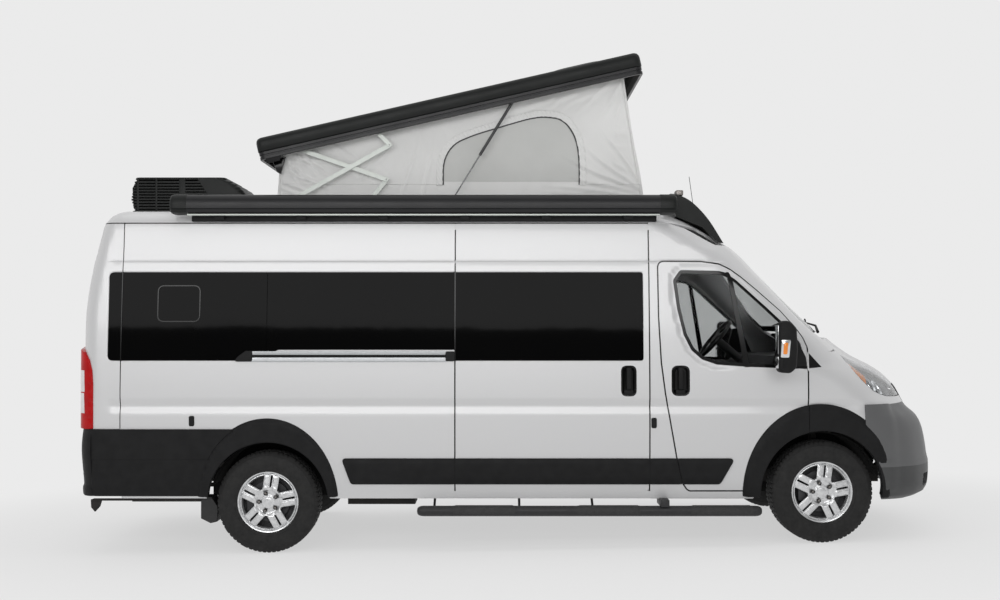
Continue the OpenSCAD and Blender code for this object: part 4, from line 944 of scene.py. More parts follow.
for name, low, high, body in (("band_rear", -END, SLIDE_REAR_X - 0.003, "root"),
        ("band_middle", SLIDE_REAR_X + 0.003, SLIDE_FRONT_X - 0.003, "root"),
        ("band_post", SLIDE_FRONT_X + 0.0035, FRONT_X - 1.09, "root"),
        ("band_door", FRONT_X - 1.09, END, "cab_door_right")):
    shape = clip(clip(BAND, 1, 0, low), -1, 0, -high)
    if name == "band_post":
        shape = clip([(low, 0.477), (FRONT_X - 1.026, 0.477), (FRONT_X - 1.064, 0.659), (low, 0.659)], 1, 0,
            low)
    if name == "band_door":
        shape = [(FRONT_X - 1.012, 0.477)] + [p for p in BAND if p[0] > 1.4] + [(FRONT_X - 1.055, 0.659)]
    panel(name + "_right", PLASTIC, [shape], relief=band_relief, depth=0.012, roll=0.004, body=body,
        sides="both", step=0.04, rows=[0.49, 0.645])


def quarter_relief(u, z):
    """The rear corner's cladding, stepped above its groove."""
    return 0.014 - 0.004 * bump((0.66 - z) / 0.008)


QUARTER_Z = [0.389, 0.45, 0.52, 0.60, 0.66, 0.72, 0.775, 0.825, 0.871]
quarter = [(TAIL_X + 0.129, 0.389)] + [(REAR_X + 0.004 - 0.512
    * math.sqrt(1 - ((z - axle_z(REAR_X)) / 0.609) ** 2), z) for z in QUARTER_Z] + [(TAIL_X + 0.129, 0.871)]
panel("rear_quarter_right", PLASTIC, [quarter], relief=quarter_relief,
    rows=[0.648, 0.652, 0.656, 0.66, 0.664], depth=0.014, roll=0.004,
    sides="both")

# Rear bumper, lamps and doors
BUMPER_OUT = smooth_curve([(0.36, 0.006), (0.393, 0.012), (0.44, 0.015), (0.463, 0.006), (0.60, 0.018),
    (0.727, 0.025), (0.86, 0.014), (0.88, 0.008)])
corner_piece = [(rear_edge(z, -0.014), z) for z in (0.871, 0.70, 0.545)]
corner_piece += [(rear_edge(0.54, -0.014), 0.389), (TAIL_X + 0.125, 0.389), (TAIL_X + 0.125, 0.871)]
panel("rear_bumper_corner_right", PLASTIC, [corner_piece], relief=lambda u, z: BUMPER_OUT(z), depth=0.02,
    roll=0.006, sides="both",
    rows=[0.44, 0.45, 0.463, 0.48])
panel("rear_bumper_middle", PLASTIC, [rect(-0.878, 0.878, 0.389, 0.541)], chart=rear_chart,
    relief=lambda u, z: BUMPER_OUT(z) + 0.004, depth=0.03, replaces="bumper_rear",
    rows=[0.44, 0.45, 0.463, 0.48])


def lamp_bulge(u):
    """The tail lamps swell round the corner."""
    return 0.008 + 0.024 * bump((rear_edge(1.2) + 0.13 - u) / 0.13)


lamp_u = grown(on_side(LAMP_TAIL), -0.0015)
panel("tail_lamp_right", RED, [lamp_u], replaces="tail_lamps", depth=0.03, roll=0.006,
    relief=lambda u, z: lamp_bulge(u) + 0.0014 * np.sin(z * 420) * (u > rear_edge(1.2) + 0.11), step=0.012,
    sides="both")
for k, (z0, z1) in enumerate(((0.99, 1.135), (1.145, 1.30))):
    shape = on_side([(TAIL_X + 0.004, z0), (TAIL_X + 0.072, z0), (TAIL_X + 0.068, z1), (TAIL_X + 0.004, z1)])
    panel(f"tail_window_{k}_right", WHITE_LENS, [shape], relief=lambda u, z: lamp_bulge(u) + 0.0015,
        depth=0.004, roll=0.001, sides="both", step=0.02)


def door_width(z):
    """Half the tail's width at a height, less the rear door's edge."""
    return float(half_at(z)) - 0.126


rear_door = [(0.003, 0.566)] + [(door_width(z), z) for z in (0.566, 0.9, 1.3, 1.6, 1.9, 2.1, 2.286)]
rear_door += [(0.003, 2.286)]
rear_pane = rect(0.10, 0.775, BELT_Z + 0.05, WINDOW_TOP_Z - 0.02, 0.05)
plate_panel = rect(0.16, 0.62, 0.86, 1.10, 0.03)


def rear_relief(u, z):
    """The number plate's recess, and the step low on the rear doors."""
    d = np.minimum(0, distance_to(plate_panel, np.abs(u), z))
    return -0.012 * bump(-d / 0.015) - 0.004 * bump((0.70 - z) / 0.02)


panel("rear_door_panel_right", PAINT, [rounded(rear_door, [0.01] + [0] * 6 + [0.06, 0.01])], cut=[rear_pane],
    chart=rear_chart, relief=rear_relief, body="rear_door_right", replaces="rear_door_right",
    soft=(rear_pane, 0.01), sides="both", step=0.03)
panel("rear_door_glass_right", DARK_GLASS, [grown(rear_pane, -0.004)], chart=rear_chart, lift=-0.006,
    depth=0.006, roll=0.001, body="rear_door_right",
    sides="both")
panel("rear_door_handle_right", GLOSS, [rect(0.035, 0.085, 1.12, 1.30, 0.02)], chart=rear_chart, lift=0.004,
    depth=0.014, body="rear_door_right", relief=lambda u, z: 0.008 + 0 * u,
    sides="both")
w = door_width(2.29) + 0.004
panel("rear_header", PAINT, [[(-w, 2.294), (w, 2.294), (w - 0.012, PANEL_TOP_Z),
    (0.012 - w, PANEL_TOP_Z)]], chart=rear_chart, cut=[rect(-0.17, 0.17, 2.325, 2.352, 0.01)])
panel("high_stop_lamp", RED, [rect(-0.168, 0.168, 2.327, 2.350, 0.009)], chart=rear_chart,
    depth=0.02, lift=0.001)

# Roof
z_edge = ROOF_SEAM_Z + 0.003
edge_rear = float(solve(side_chart, -0.001, z_edge, TAIL_X - 1.3, TAIL_X + 0.3, 1)[0])
us = np.concatenate([np.linspace(edge_rear, TAIL_X + 0.5, 60), np.linspace(TAIL_X + 0.55, FRONT_X - 1.05,
    40)])
roof_side = [tuple(p[:2]) for p in side_chart(us, np.full_like(us, z_edge))]
path = dense([(FRONT_X - 1.05, z_edge), (FRONT_X - 0.88, 2.352), (FRONT_X - 0.64, 2.228)], 0.04, False)[1:]
pu = side_u([p[0] for p in path], [p[1] for p in path])
roof_side += [tuple(p[:2]) for p in side_chart(pu, np.array([p[1] for p in path]))]
u_end = float(solve(side_chart, -0.001, 2.228, FRONT_X, FRONT_X + 1.9, 1)[0])
fu = np.linspace(float(pu[-1]) + 0.03, u_end, 30)
roof_side += [tuple(p[:2]) for p in side_chart(fu, np.full_like(fu, 2.228))]
roof = roof_side + [(x, -y) for x, y in reversed(roof_side[1:-1])]
edge_rows = [s * v for s in (-1, 1) for v in (0.66, 0.72, 0.76, 0.79, 0.81, 0.828, 0.842, 0.854, 0.864, 0.872,
    0.88)]
panel("roof", PAINT, [roof], cut=[rect(FRONT_X - 2.2, FRONT_X - 1.4, -0.4, 0.4, 0.03)], chart=roof_chart,
    rows=edge_rows, replaces="roof_panel", depth=0.02, step=0.045,
    relief=lambda u, v: 0.006 * np.where(np.abs(v) < 0.62,
        (0.5 + 0.5 * np.cos(v * 2 * math.pi / 0.24)) ** 3, 0) * bump((FRONT_X - 1.1 - u) / 0.1))


# ---------------------------------------------------------------- solid pieces
class Build:
    """Collects vertices and faces of one piece, in the body's frame."""

    def __init__(self):
        self.verts, self.faces, self.slots = [], [], []

    def add(self, verts, faces, slot=0):
        """Adds loose points and faces."""
        n = len(self.verts)
        self.verts += [tuple(float(c) for c in v) for v in verts]
        self.faces += [tuple(i + n for i in f) for f in faces]
        self.slots += [slot] * len(faces)
        return self

    def loft(self, rings, slot=0, caps=True, closed=True):
        """Skins over rings of equally many points."""
        rings = [[tuple(p) for p in r] for r in rings]
        n, m = len(rings), len(rings[0])
        faces = []
        for i in range(n - 1):
            for j in range(m if closed else m - 1):
                k = (j + 1) % m
                faces.append((i * m + j, i * m + k, (i + 1) * m + k, (i + 1) * m + j))
        if caps and closed:
            faces += [tuple(range(m))[::-1], tuple((n - 1) * m + j for j in range(m))]
        return self.add([p for r in rings for p in r], faces, slot)

    def lathe(self, profile, centre, steps=96, slot=0, shape=None):
        """Turns (radius, y) points round the Y axis through centre; shape(r, y, angle) moves a radius."""
        rings = []
        for k in range(steps):
            a = 2 * math.pi * k / steps
            ring = []
            for r, y in profile:
                q = shape(r, y, a) if shape else r
                ring.append((centre[0] + q * math.cos(a), centre[1] + y, centre[2] + q * math.sin(a)))
            rings.append(ring)
        return self.loft(rings + [rings[0]], slot, caps=False, closed=False)

    def tube(self, path, radius, sides=12, slot=0, flat=1.0):
        """A round bar along points; radius is a number or one for each point."""
        points = [Vector(p) for p in path]
        radii = radius if hasattr(radius, "__len__") else [radius] * len(points)
        up = Vector((0, 0, 1))
        rings = []
        for i, p in enumerate(points):
            run = (points[min(i + 1, len(points) - 1)] - points[max(i - 1, 0)]).normalized()
            side = run.cross(up)
            side = side.normalized() if side.length > 1e-3 else Vector((1, 0, 0))
            over = side.cross(run)
            rings.append([p + radii[i] * (side * math.cos(a) + flat * over * math.sin(a))
                for a in (2 * math.pi * k / sides for k in range(sides))])
        return self.loft(rings, slot)

    def box(self, low, high, radius=0.004, slot=0, segments=2, turn=None):
        """A box with rounded edges."""
        bm = bmesh.new()
        bmesh.ops.create_cube(bm, size=1)
        low, high = Vector(low), Vector(high)
        for v in bm.verts:
            v.co = Vector([(low[i] + high[i]) / 2 + v.co[i] * (high[i] - low[i]) for i in range(3)])
        radius = min(radius, min(high - low) * 0.49)
        if radius > 0:
            bmesh.ops.bevel(bm, geom=bm.edges[:], offset=radius, segments=segments, profile=0.5,
                affect="EDGES")
        return self.take(bm, slot, turn)

    def prism(self, outline, y0, y1, radius=0.004, slot=0, segments=2, turn=None):
        """An (x, z) outline pushed along Y, with rounded edges."""
        bm = bmesh.new()
        face = bm.faces.new([bm.verts.new((x, y0, z)) for x, z in outline])
        grown_faces = bmesh.ops.extrude_face_region(bm, geom=[face])
        for v in grown_faces["geom"]:
            if isinstance(v, bmesh.types.BMVert):
                v.co.y = y1
        bmesh.ops.recalc_face_normals(bm, faces=bm.faces[:])
        if radius > 0:
            edges = [e for e in bm.edges if abs(e.verts[0].co.y - e.verts[1].co.y) < 1e-6]
            bmesh.ops.bevel(bm, geom=edges, offset=radius, segments=segments, profile=0.5, affect="EDGES")
        return self.take(bm, slot, turn)

    def take(self, bm, slot=0, turn=None):
        """Adds a finished bmesh, turned by a matrix, and frees it."""
        if turn is not None:
            bmesh.ops.transform(bm, matrix=turn, verts=bm.verts[:])
        bm.verts.ensure_lookup_table()
        index = {v: i for i, v in enumerate(bm.verts)}
        self.add([v.co for v in bm.verts], [[index[v] for v in f.verts] for f in bm.faces], slot)
        bm.free()
        return self

    def mirrored(self):
        """The same piece on the van's other side."""
        twin = Build()
        twin.verts = [(x, -y, z) for x, y, z in self.verts]
        twin.faces = [f[::-1] for f in self.faces]
        twin.slots = list(self.slots)
        return twin

    def make(self, name, materials, body="root", replaces=(), sharp=35, both=False, slot=None, place=BODY):
        """Makes the piece, and its mirror image too where both is asked for."""
        mesh = bpy.data.meshes.new(name)
        mesh.from_pydata(self.verts, [], self.faces)
        mesh.update()
        bm = bmesh.new()
        bm.from_mesh(mesh)
        bmesh.ops.remove_doubles(bm, verts=bm.verts[:], dist=1e-6)
        for e in bm.edges:
            e.smooth = len(e.link_faces) != 2 or e.calc_face_angle(0) < math.radians(sharp)
        for f in bm.faces:
            f.smooth = True
        bm.to_mesh(mesh)
        bm.free()
        slots = self.slots if len(mesh.polygons) == len(self.slots) else [0] * len(mesh.polygons)
        obj = finish_mesh(mesh, name, materials, body, replaces, place=place)
        if any(slots):
            mesh.polygons.foreach_set("material_index", slots)
        if both:
            self.mirrored().make(left_of(name), materials, body.replace("_right", "_left"),
                left_nodes(replaces), sharp, slot=slot)
        return obj


def on_skin(chart, points, lift):
    """Places on a chart, lifted off the skin."""
    u, z = np.array(points, float).T
    e = 0.002
    n = np.cross(chart(u + e, z) - chart(u - e, z), chart(u, z + e) - chart(u, z - e))
    p = chart(u, z)
    n /= np.linalg.norm(n, axis=1)[:, None]
    outward = np.sign(np.sum(n * (p - np.array([FRONT_X - 1.5, 0, 1.3])), 1))[:, None]
    return p + n * outward * np.array(lift).reshape(-1, 1)


# ---------------------------------------------------------------- wheels
TREAD_BLOCKS = 66
SHOULDER_SHARE = 0.36 / 0.372


def tyre_shape(r, y, a):
    """Grooves across the shoulders and sipes across the middle ribs."""
    if r < SHOULDER_SHARE * TYRE_R:
        return r
    beat = (a * TREAD_BLOCKS / (2 * math.pi) + (0.5 if y > 0 else 0)) % 1
    if abs(y) > 0.046 and beat < 0.17:
        return r - 0.0065
    if abs(y) < 0.036 and (beat + abs(y) * 9) % 1 < 0.13:
        return r - 0.005
    return r


R = TYRE_R - 0.0005
TREAD = [(-0.083, 0), (-0.050, 0), (-0.0485, -0.008), (-0.0405, -0.008), (-0.039, 0), (-0.0215, 0),
    (-0.020, -0.008), (-0.013, -0.008), (-0.0115, 0)]
PROFILE = ([(0.2185, -0.090), (0.2225, -0.099), (0.232, -0.1045), (0.240, -0.1065), (0.2415, -0.108),
    (0.246, -0.1085), (0.248, -0.1075), (0.270, -0.1118), (0.292, -0.1125), (0.312, -0.1115),
    (0.330, -0.1085), (0.332, -0.1095), (0.337, -0.1085), (0.339, -0.1065), (0.352, -0.1015),
    (0.361, -0.0955), (R - 0.003, -0.089)] + [(R + d - 0.0012 * (y / 0.083) ** 2, y) for y, d in TREAD])
PROFILE += [(r, -y) for r, y in reversed(PROFILE)]
PROFILE += [(0.2185, 0.0)]


def wheel_chart(u, z):
    """A flat upright chart, for the face of a wheel."""
    return np.stack([u, np.zeros_like(u), z], -1)


def polar(r, degrees, turn):
    """A flat point at a radius and an angle."""
    a = math.radians(degrees + turn)
    return (r * math.cos(a), r * math.sin(a))


def pocket(turn):
    """The opening between two pairs of spokes: it narrows towards the hub."""
    arc = [polar(0.200, 20.5 * (k / 6 - 1), turn) for k in range(13)]
    return rounded([polar(0.099, -4, turn)] + arc + [polar(0.099, 4, turn)],
        [0.004, 0.008] + [0] * 11 + [0.008, 0.004])


def slit(turn):
    """The straight slot between the two spokes of a pair."""
    c, s = math.cos(math.radians(turn)), math.sin(math.radians(turn))
    return [(x * c - z * s, x * s + z * c) for x,
        z in rounded([(0.104, -0.009), (0.199, -0.0105), (0.199, 0.0105), (0.104, 0.009)],
        [0.004, 0.006, 0.006, 0.004])]


def face_relief(u, z):
    """The dished face, with a ridge along each spoke."""
    r = np.hypot(u, z)
    a = np.degrees(np.arctan2(z, u))
    within = np.radians((a - 9 + 36) % 72 - 36)
    across = np.abs(np.abs(r * np.sin(within)) - 0.0325)
    crown = np.interp(r, [0, 0.046, 0.052, 0.080, 0.092, 0.112, 0.118, 0.19, 0.205, 0.216],
        [1, 1, -5, -3, 5, 9, 6, -2, -8, -3]) / 1000
    ridge = 0.006 * bump((0.021 - across) / 0.006) * bump((r - 0.088) / 0.02)
    return crown + ridge * bump((0.209 - r) / 0.012)


SPOKE_PAIRS = 5
PAIR_TURN = 360 / SPOKE_PAIRS
pockets = [pocket(45 + PAIR_TURN * k) for k in range(SPOKE_PAIRS)]
slots = [slit(9 + PAIR_TURN * k) for k in range(SPOKE_PAIRS)]
LEVEL = Matrix.Identity(4)
face, = panel("wheel_face", ALLOY, [circle(0, 0, 0.2165, 120)], cut=pockets + slots, chart=wheel_chart,
    relief=face_relief, depth=0.024, roll=0.003, step=0.009, body=None, place=LEVEL)
tyre = Build().lathe(PROFILE, (0, 0, 0), 264, shape=tyre_shape).make("tyre", TYRE, None, sharp=28,
    place=LEVEL)
rim = Build()
rim.lathe([(0.205, -0.088), (0.2135, -0.0985), (0.2205, -0.1005), (0.2240, -0.0975), (0.2215, -0.091),
    (0.2160, -0.088), (0.2140, -0.06), (0.2110, 0.06), (0.2180, 0.095), (0.2080, 0.095), (0.203, 0.06),
    (0.205, -0.06), (0.205, -0.088)], (0, 0, 0), 120)
rim.lathe([(0.0, -0.0935), (0.022, -0.093), (0.031, -0.0905), (0.034, -0.084), (0.034, -0.07)], (0, 0, 0), 48)
rim = rim.make("rim_barrel", ALLOY, None, place=LEVEL)
nuts = Build()
for k in range(5):
    x, z = polar(0.066, 105 + PAIR_TURN * k, 0)
    nuts.lathe([(0.0, -0.0975), (0.0075, -0.0965), (0.0105, -0.092), (0.0115, -0.080)], (x, 0, z), 6)
    # A black collar round each nut: painted shade of its lug bore.
    nuts.lathe([(0.0155, -0.0965), (0.0145, -0.0972), (0.0125, -0.0972), (0.0125, -0.085), (0.0155, -0.085),
        (0.0155, -0.0965)], (x, 0, z), 24, slot=1)
nuts = nuts.make("wheel_nuts", [STEEL, GLOSS], None, sharp=20, place=LEVEL)
# The brake parts are real; their near black, and the disc that closes the wheel behind its spokes, are painted
# shade of the wheel's inside.
brake = Build()
brake.lathe([(0.05, -0.034), (0.150, -0.034), (0.152, -0.030), (0.152, -0.012), (0.05, -0.012)], (0, 0, 0),
    72)
brake.lathe([(0.0, -0.062), (0.075, -0.062), (0.080, -0.056), (0.080, -0.03)], (0, 0, 0), 48)
brake.box((-0.165, -0.055, -0.07), (-0.10, 0.0, 0.07), 0.012)
brake.lathe([(0.203, 0.0), (0.05, 0.004)], (0, 0, 0), 72)
brake = brake.make("brake", POCKET_SHADE, None, place=LEVEL)
FACE_PLACE = Matrix.Translation((0, -0.089, 0))
for end, spin in (("front", FRONT_SPIN), ("rear", REAR_SPIN)):
    for side, sign, turn in (("right", 1, 0), ("left", -1, math.pi)):
        wheel = f"{end}_{side}"
        place = Matrix.Translation((spin.x, sign * spin.y, spin.z)) @ Matrix.Rotation(turn, 4, "Z")
        for proto, name, slot, node in ((tyre, f"tread_{wheel}", "tyre", "tyre_"),
                (face, f"spokes_{wheel}_look", "alloy", "rim_"), (rim, f"barrel_{wheel}_look", "alloy", None),
                (nuts, f"nuts_{wheel}_look", "bright_metal", None),
                (brake, f"brake_{wheel}_look", "chassis_metal", None)):
            mesh = proto.data.copy()
            mesh.transform(place @ FACE_PLACE if proto is face else place)
            obj = bpy.data.objects.new(name, mesh)
            bpy.context.scene.collection.objects.link(obj)
            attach(obj, "wheel_" + wheel)
            if node:
                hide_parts(node + wheel)
for proto in (tyre, face, rim, nuts, brake):
    mesh = proto.data
    bpy.data.objects.remove(proto)
    bpy.data.meshes.remove(mesh)

# ---------------------------------------------------------------- fittings on the flanks
# Mirrors on two arms
b = Build()
b.prism(rounded([(1.970, 1.296), (2.050, 1.290), (2.094, 1.33), (2.102, 1.46), (2.094, 1.61), (2.050, 1.660),
    (1.995, 1.664), (1.966, 1.62), (1.964, 1.36)], [0.03, 0.04, 0.04, 0, 0.04, 0.05, 0.05, 0.03, 0]), -1.288,
    -1.152, 0.030, segments=5)
for z0, z1 in ((1.535, 1.575), (1.352, 1.392)):
    b.tube([(2.04, -1.16, (z0 + z1) / 2), (2.10, -1.10, (z0 + z1) / 2), (2.13, -1.00, (z0 + z1) / 2 + 0.005),
        (2.12, -0.955, (z0 + z1) / 2)], 0.018, 12, flat=0.8)
b.prism(rounded([(1.99, 1.33), (2.235, 1.33), (2.225, 1.40), (2.12, 1.60), (2.06, 1.60)], 0.02), -1.003,
    -0.93, 0.006)
b.make("mirror_case_right", PLASTIC, "cab_door_right", "mirror_right", both=True)
b = Build().box((1.9625, -1.262, 1.425), (1.968, -1.175, 1.630), 0.012)
b.box((1.9625, -1.262, 1.325), (1.968, -1.175, 1.408), 0.012)
b.make("mirror_glass_right", CHROME, "cab_door_right", both=True)
b = Build().prism(rounded([(1.975, 1.402), (2.036, 1.402), (2.048, 1.528), (1.982, 1.528)], 0.012), -1.2895,
    -1.27, 0.003)
b.prism(rounded([(1.992, 1.425), (2.022, 1.425), (2.030, 1.508), (1.998, 1.508)], 0.01), -1.2915, -1.28,
    0.002, slot=1)
b.make("mirror_lamp_right", [CHROME, AMBER], "cab_door_right", both=True, slot="lamp_lens")
# Sail behind the mirror, on the fender side of the door's edge
sail = [(FENDER_X + 0.003, 1.318), (FRONT_X - 0.004, 1.326), (FENDER_X + 0.004, 1.425)]
panel("fender_sail_right", GLOSS, [sail], lift=0.002, depth=0.004, roll=0.001,
      sides="both")

# Door handles in their recesses
for name, outline, body, sides in (("slide", HANDLE, "root", "right"),
        ("cab", CAB_HANDLE, "cab_door_right", "both")):
    cup = grown(outline, -0.0015)
    mid_u, mid_z = np.mean(outline, 0)
    panel(f"{name}_handle_cup_right", GLOSS, [cup], depth=0.02, roll=0.004, body=body, sides=sides,
        step=0.011, relief=lambda u, z, o=cup: -0.022 * bump((-distance_to(o, u, z) - 0.006) / 0.022))
    y = -float(half_at(mid_z))
    grip = Build().box((mid_u - 0.017, y - 0.010, mid_z - 0.065), (mid_u + 0.017, y + 0.008, mid_z + 0.098),
        0.0088, segments=4)
    grip.box((mid_u - 0.019, y - 0.006, mid_z + 0.07), (mid_u + 0.019, y + 0.022, mid_z + 0.098), 0.008)
    grip.box((mid_u - 0.036, y - 0.002, mid_z - 0.102), (mid_u + 0.036, y + 0.022, mid_z - 0.065), 0.01)
    grip.make(f"{name}_handle_right", PLASTIC, body, both=sides == "both")


def gap_shade(name, points, width=0.008, sides="both"):
    """Painted shade of a panel gap: a dark strip along a gap between panels, just proud of them."""
    path = np.array(points, float)
    run = np.gradient(path, axis=0)
    run /= np.linalg.norm(run, axis=1)[:, None]
    off = np.stack([-run[:, 1], run[:, 0]], -1) * width / 2
    strip = [tuple(p) for p in np.concatenate([path + off, (path - off)[::-1]])]
    area = sum(a[0] * b[1] - b[0] * a[1] for a, b in zip(strip, strip[1:] + strip[:1]))
    panel(name, GLOSS, [strip if area > 0 else strip[::-1]], lift=0.0008, depth=0.003, roll=0.001, thin=True,
        relief=flank, rows=FLANK_ROWS, sides=sides)


# Dark strips along the sliding door, rear corner and roof seams: painted shade of the panel gaps.
for name, x in (("slide_front_gasket", SLIDE_FRONT_X), ("slide_rear_gasket", SLIDE_REAR_X)):
    gap_shade(name, [(x, z) for z in np.linspace(DOOR_BOTTOM_Z, 2.33, 12)], sides="right")
# The same painted gap shade round the cab door's outline.
panel("cab_door_gap_shade", GLOSS, [grown(DOOR, 0.004)], cut=[grown(DOOR, -0.0045), FRONT_ARCH], lift=0.0012,
    depth=0.003, roll=0.001, thin=True, relief=door_relief, rows=FLANK_ROWS, step=0.03, sides="both")
gap_shade("rear_corner_gap_shade", [(REAR_SEAM_X, z) for z in np.linspace(0.88, ROOF_SEAM_Z, 12)], 0.005)
gap_shade("roof_gap_shade", [(x, ROOF_SEAM_Z) for x in np.linspace(TAIL_X + 0.13, SLIDE_FRONT_X, 14)], 0.006)

# Liners behind the wheels, near black: partly black plastic, partly painted shade of the wheel wells
b = Build()
for y, x, reach in ((-0.55, REAR_X, 0.50), (0.54, REAR_X, 0.50), (-0.33, FRONT_X, 0.56),
        (0.32, FRONT_X, 0.56)):
    b.box((x - reach, y, 0.33), (x + reach, y + 0.01, 0.86), 0.004)
b.make("inner_liners_and_shade", LINER_AND_SHADE, slot="liner_plastic")
b = Build().prism([(TAIL_X + 0.085, 0.352), (TAIL_X + 0.165, 0.352), (TAIL_X + 0.15, 0.30),
    (TAIL_X + 0.115, 0.262), (TAIL_X + 0.088, 0.295)], -0.93, -0.90, 0.004)
b.box((TAIL_X + 0.10, -0.94, 0.345), (TAIL_X + 0.90, -0.90, 0.358), 0.002)
b.box((TAIL_X + 0.35, -0.80, 0.318), (TAIL_X + 1.10, -0.76, 0.345), 0.004)
b.make("rear_underside", CHASSIS)

# Rail of the sliding door and small clips
rail = [(SLIDE_REAR_X - 1.565, 1.367), (SLIDE_REAR_X - 0.068, 1.367), (SLIDE_REAR_X - 0.068, 1.438),
    (SLIDE_REAR_X - 1.50, 1.438), (SLIDE_REAR_X - 1.545, 1.40)]
panel("slide_rail", RAIL, [rail], replaces="door_rail", depth=0.012, roll=0.003, step=0.02,
    relief=lambda u, z: 0.009 - 0.008 * (1 - bump((np.abs(z - 1.405) - 0.008) / 0.004)),
    rows=[1.392, 1.397, 1.401, 1.409, 1.413, 1.418])
# A black strip laid in the rail's groove: painted shade of the groove.
panel("slide_rail_groove_shade", GLOSS, [rect(SLIDE_REAR_X - 1.48, SLIDE_REAR_X - 0.07, 1.397, 1.415)], lift=0.0035,
    depth=0.002, roll=0.0005)
panel("slide_rail_tail", PLASTIC,
    [rounded([(SLIDE_REAR_X - 1.60, 1.369), (SLIDE_REAR_X - 1.475, 1.369), (SLIDE_REAR_X - 1.475, 1.440),
    (SLIDE_REAR_X - 1.52, 1.440), (SLIDE_REAR_X - 1.575, 1.40)], 0.012)], lift=0.011, depth=0.012)
panel("slide_rail_end", PLASTIC, [rect(SLIDE_REAR_X - 0.066, SLIDE_REAR_X - 0.006, 1.372, 1.436, 0.008)],
    lift=0.010, depth=0.012)
for k, (x, z) in enumerate(((-2.240, 0.934), (1.119, 0.920))):
    panel(f"clip_{k}", PLASTIC, [rect(x - 0.016, x + 0.016, z - 0.034, z + 0.034, 0.01)], lift=0.006,
        depth=0.008, roll=0.004, sides="both")

# Side steps: tube, brackets and dimpled pads
STEP_Y, STEP_Z, STEP_R = -1.05, 0.287, 0.038
b = Build()
xs = [-0.600, -0.597, -0.588, -0.572] + list(np.linspace(-0.55, 1.845, 12)) + [1.866, 1.882, 1.891, 1.894]
rs = [0.004, 0.020, 0.030, 0.036] + [STEP_R] * 12 + [0.036, 0.030, 0.020, 0.004]
b.tube([(x, STEP_Y, STEP_Z) for x in xs], rs, 24)
for x in (-0.480, 0.141, 0.677):
    b.tube([(x, -1.03, STEP_Z), (x, -0.94, 0.305), (x, -0.86, 0.350), (x, -0.80, 0.368)], 0.009, 10)
b.box((1.158, -1.088, 0.318), (1.222, -0.86, 0.372), 0.006)
b.make("step_tube_right", STEP, replaces="side_steps", both=True)
b = Build()
for x0, x1 in ((-0.340, 0.109), (0.557, 1.014), (1.376, 1.824)):
    n = max(2, int((x1 - x0) / 0.006))
    rings = []
    for i in range(n + 1):
        x = x0 + (x1 - x0) * i / n
        inside = min(i, n - i) / 3 >= 1
        ring = []
        for k in range(41):
            a = math.radians(-24 + 228 * k / 40)
            dimple = 0.0022 * (math.sin(x * 2 * math.pi / 0.036) * math.sin(a * 9) > 0.35)
            r = 0.0385 + (0.0035 if inside and 0 < k < 40 else 0) - (dimple if inside else 0)
            ring.append((x, STEP_Y - r * math.cos(a), STEP_Z + r * math.sin(a)))
        rings.append(ring)
    b.loft(rings, caps=False, closed=False)
b.make("step_pads_right", PAD, sharp=60, both=True)

# Wipers
for name, pts, drop in (("right", [(-0.60, 1.574), (-0.42, 1.604), (-0.10, 1.632)], 0.0),
        ("left", [(0.02, 1.556), (0.26, 1.60), (0.56, 1.630)], 0.002)):
    b = Build()
    b.tube([tuple(p) for p in on_skin(front_chart, pts, [0.008, 0.030, 0.024])], [0.012, 0.009, 0.006], 8)
    u1 = pts[2][0]
    blade = [(u1 + d, 1.632 - 0.035 * (d / 0.3) - drop) for d in np.linspace(-0.30, 0.28, 12)]
    b.tube([tuple(p) for p in on_skin(front_chart, blade, [0.012] * 12)], 0.006, 8)
    b.make(f"wiper_{name}", PLASTIC)

# ---------------------------------------------------------------- roof equipment
AWN0, AWN1 = TAIL_X + 0.682, FRONT_X - 1.056


AWNING_Y, AWNING_Z = -0.945, 2.512


def awning_ring(x, grow=0.0):
    """The case's section: rounded outside, with a lip line below."""
    section = [(-0.882, 2.440), (-0.960, 2.440), (-0.996, 2.450), (-1.007, 2.472), (-1.004, 2.476),
        (-1.0085, 2.480), (-1.0105, 2.510), (-1.007, 2.540), (-0.996, 2.566), (-0.975, 2.582),
        (-0.945, 2.5875), (-0.910, 2.584), (-0.884, 2.572), (-0.879, 2.50)]
    return [(x, AWNING_Y + (y - AWNING_Y) * (1 + grow), AWNING_Z + (z - AWNING_Z) * (1 + grow))
            for y, z in section]


b = Build().loft([awning_ring(x, -0.035) for x in (AWN0 + 0.09, AWN1 - 0.09)])
b.make("awning_case_right", AWNING, replaces="roof_equipment", sharp=30)
b = Build()
for s, x in ((1, AWN0), (-1, AWN1)):
    b.loft([awning_ring(x + s * d, g) for d, g in ((0.0, -0.22), (0.006, -0.10), (0.018, -0.02), (0.035, 0.0),
        (0.118, 0.0), (0.122, -0.03))][::s])
b.make("awning_caps", ROOF_BLACK)
b = Build().box((AWN0 + 0.14, -0.915, 2.392), (AWN1 - 0.14, -0.80, 2.436), 0.004)
for x in np.linspace(AWN0 + 0.35, AWN1 - 0.35, 6):
    b.box((x - 0.035, -0.948, 2.405), (x + 0.035, -0.85, 2.445), 0.006)
b.make("awning_rail", PLASTIC)
b = Build().box((AWN0 + 0.125, -0.992, 2.4315), (AWN1 - 0.125, -0.93, 2.4405), 0.001)
b.make("awning_strip", ZINC)

# Air conditioner: slatted shroud round a dark core, whose near black is partly painted shade between the slats
AX, AZ = TAIL_X + 0.193, 2.519
shell = [(0.02, 0.03), (0.05, -0.01), (0.91, -0.01), (0.925, 0.02), (0.742, 0.240), (0.05, 0.252),
    (0.012, 0.185)]
b = Build().prism([(AX + x, AZ + z) for x, z in shell], -0.318, 0.318, 0.012)
b.make("ac_core", LINER_AND_SHADE, slot="roof_plastic")
b = Build()


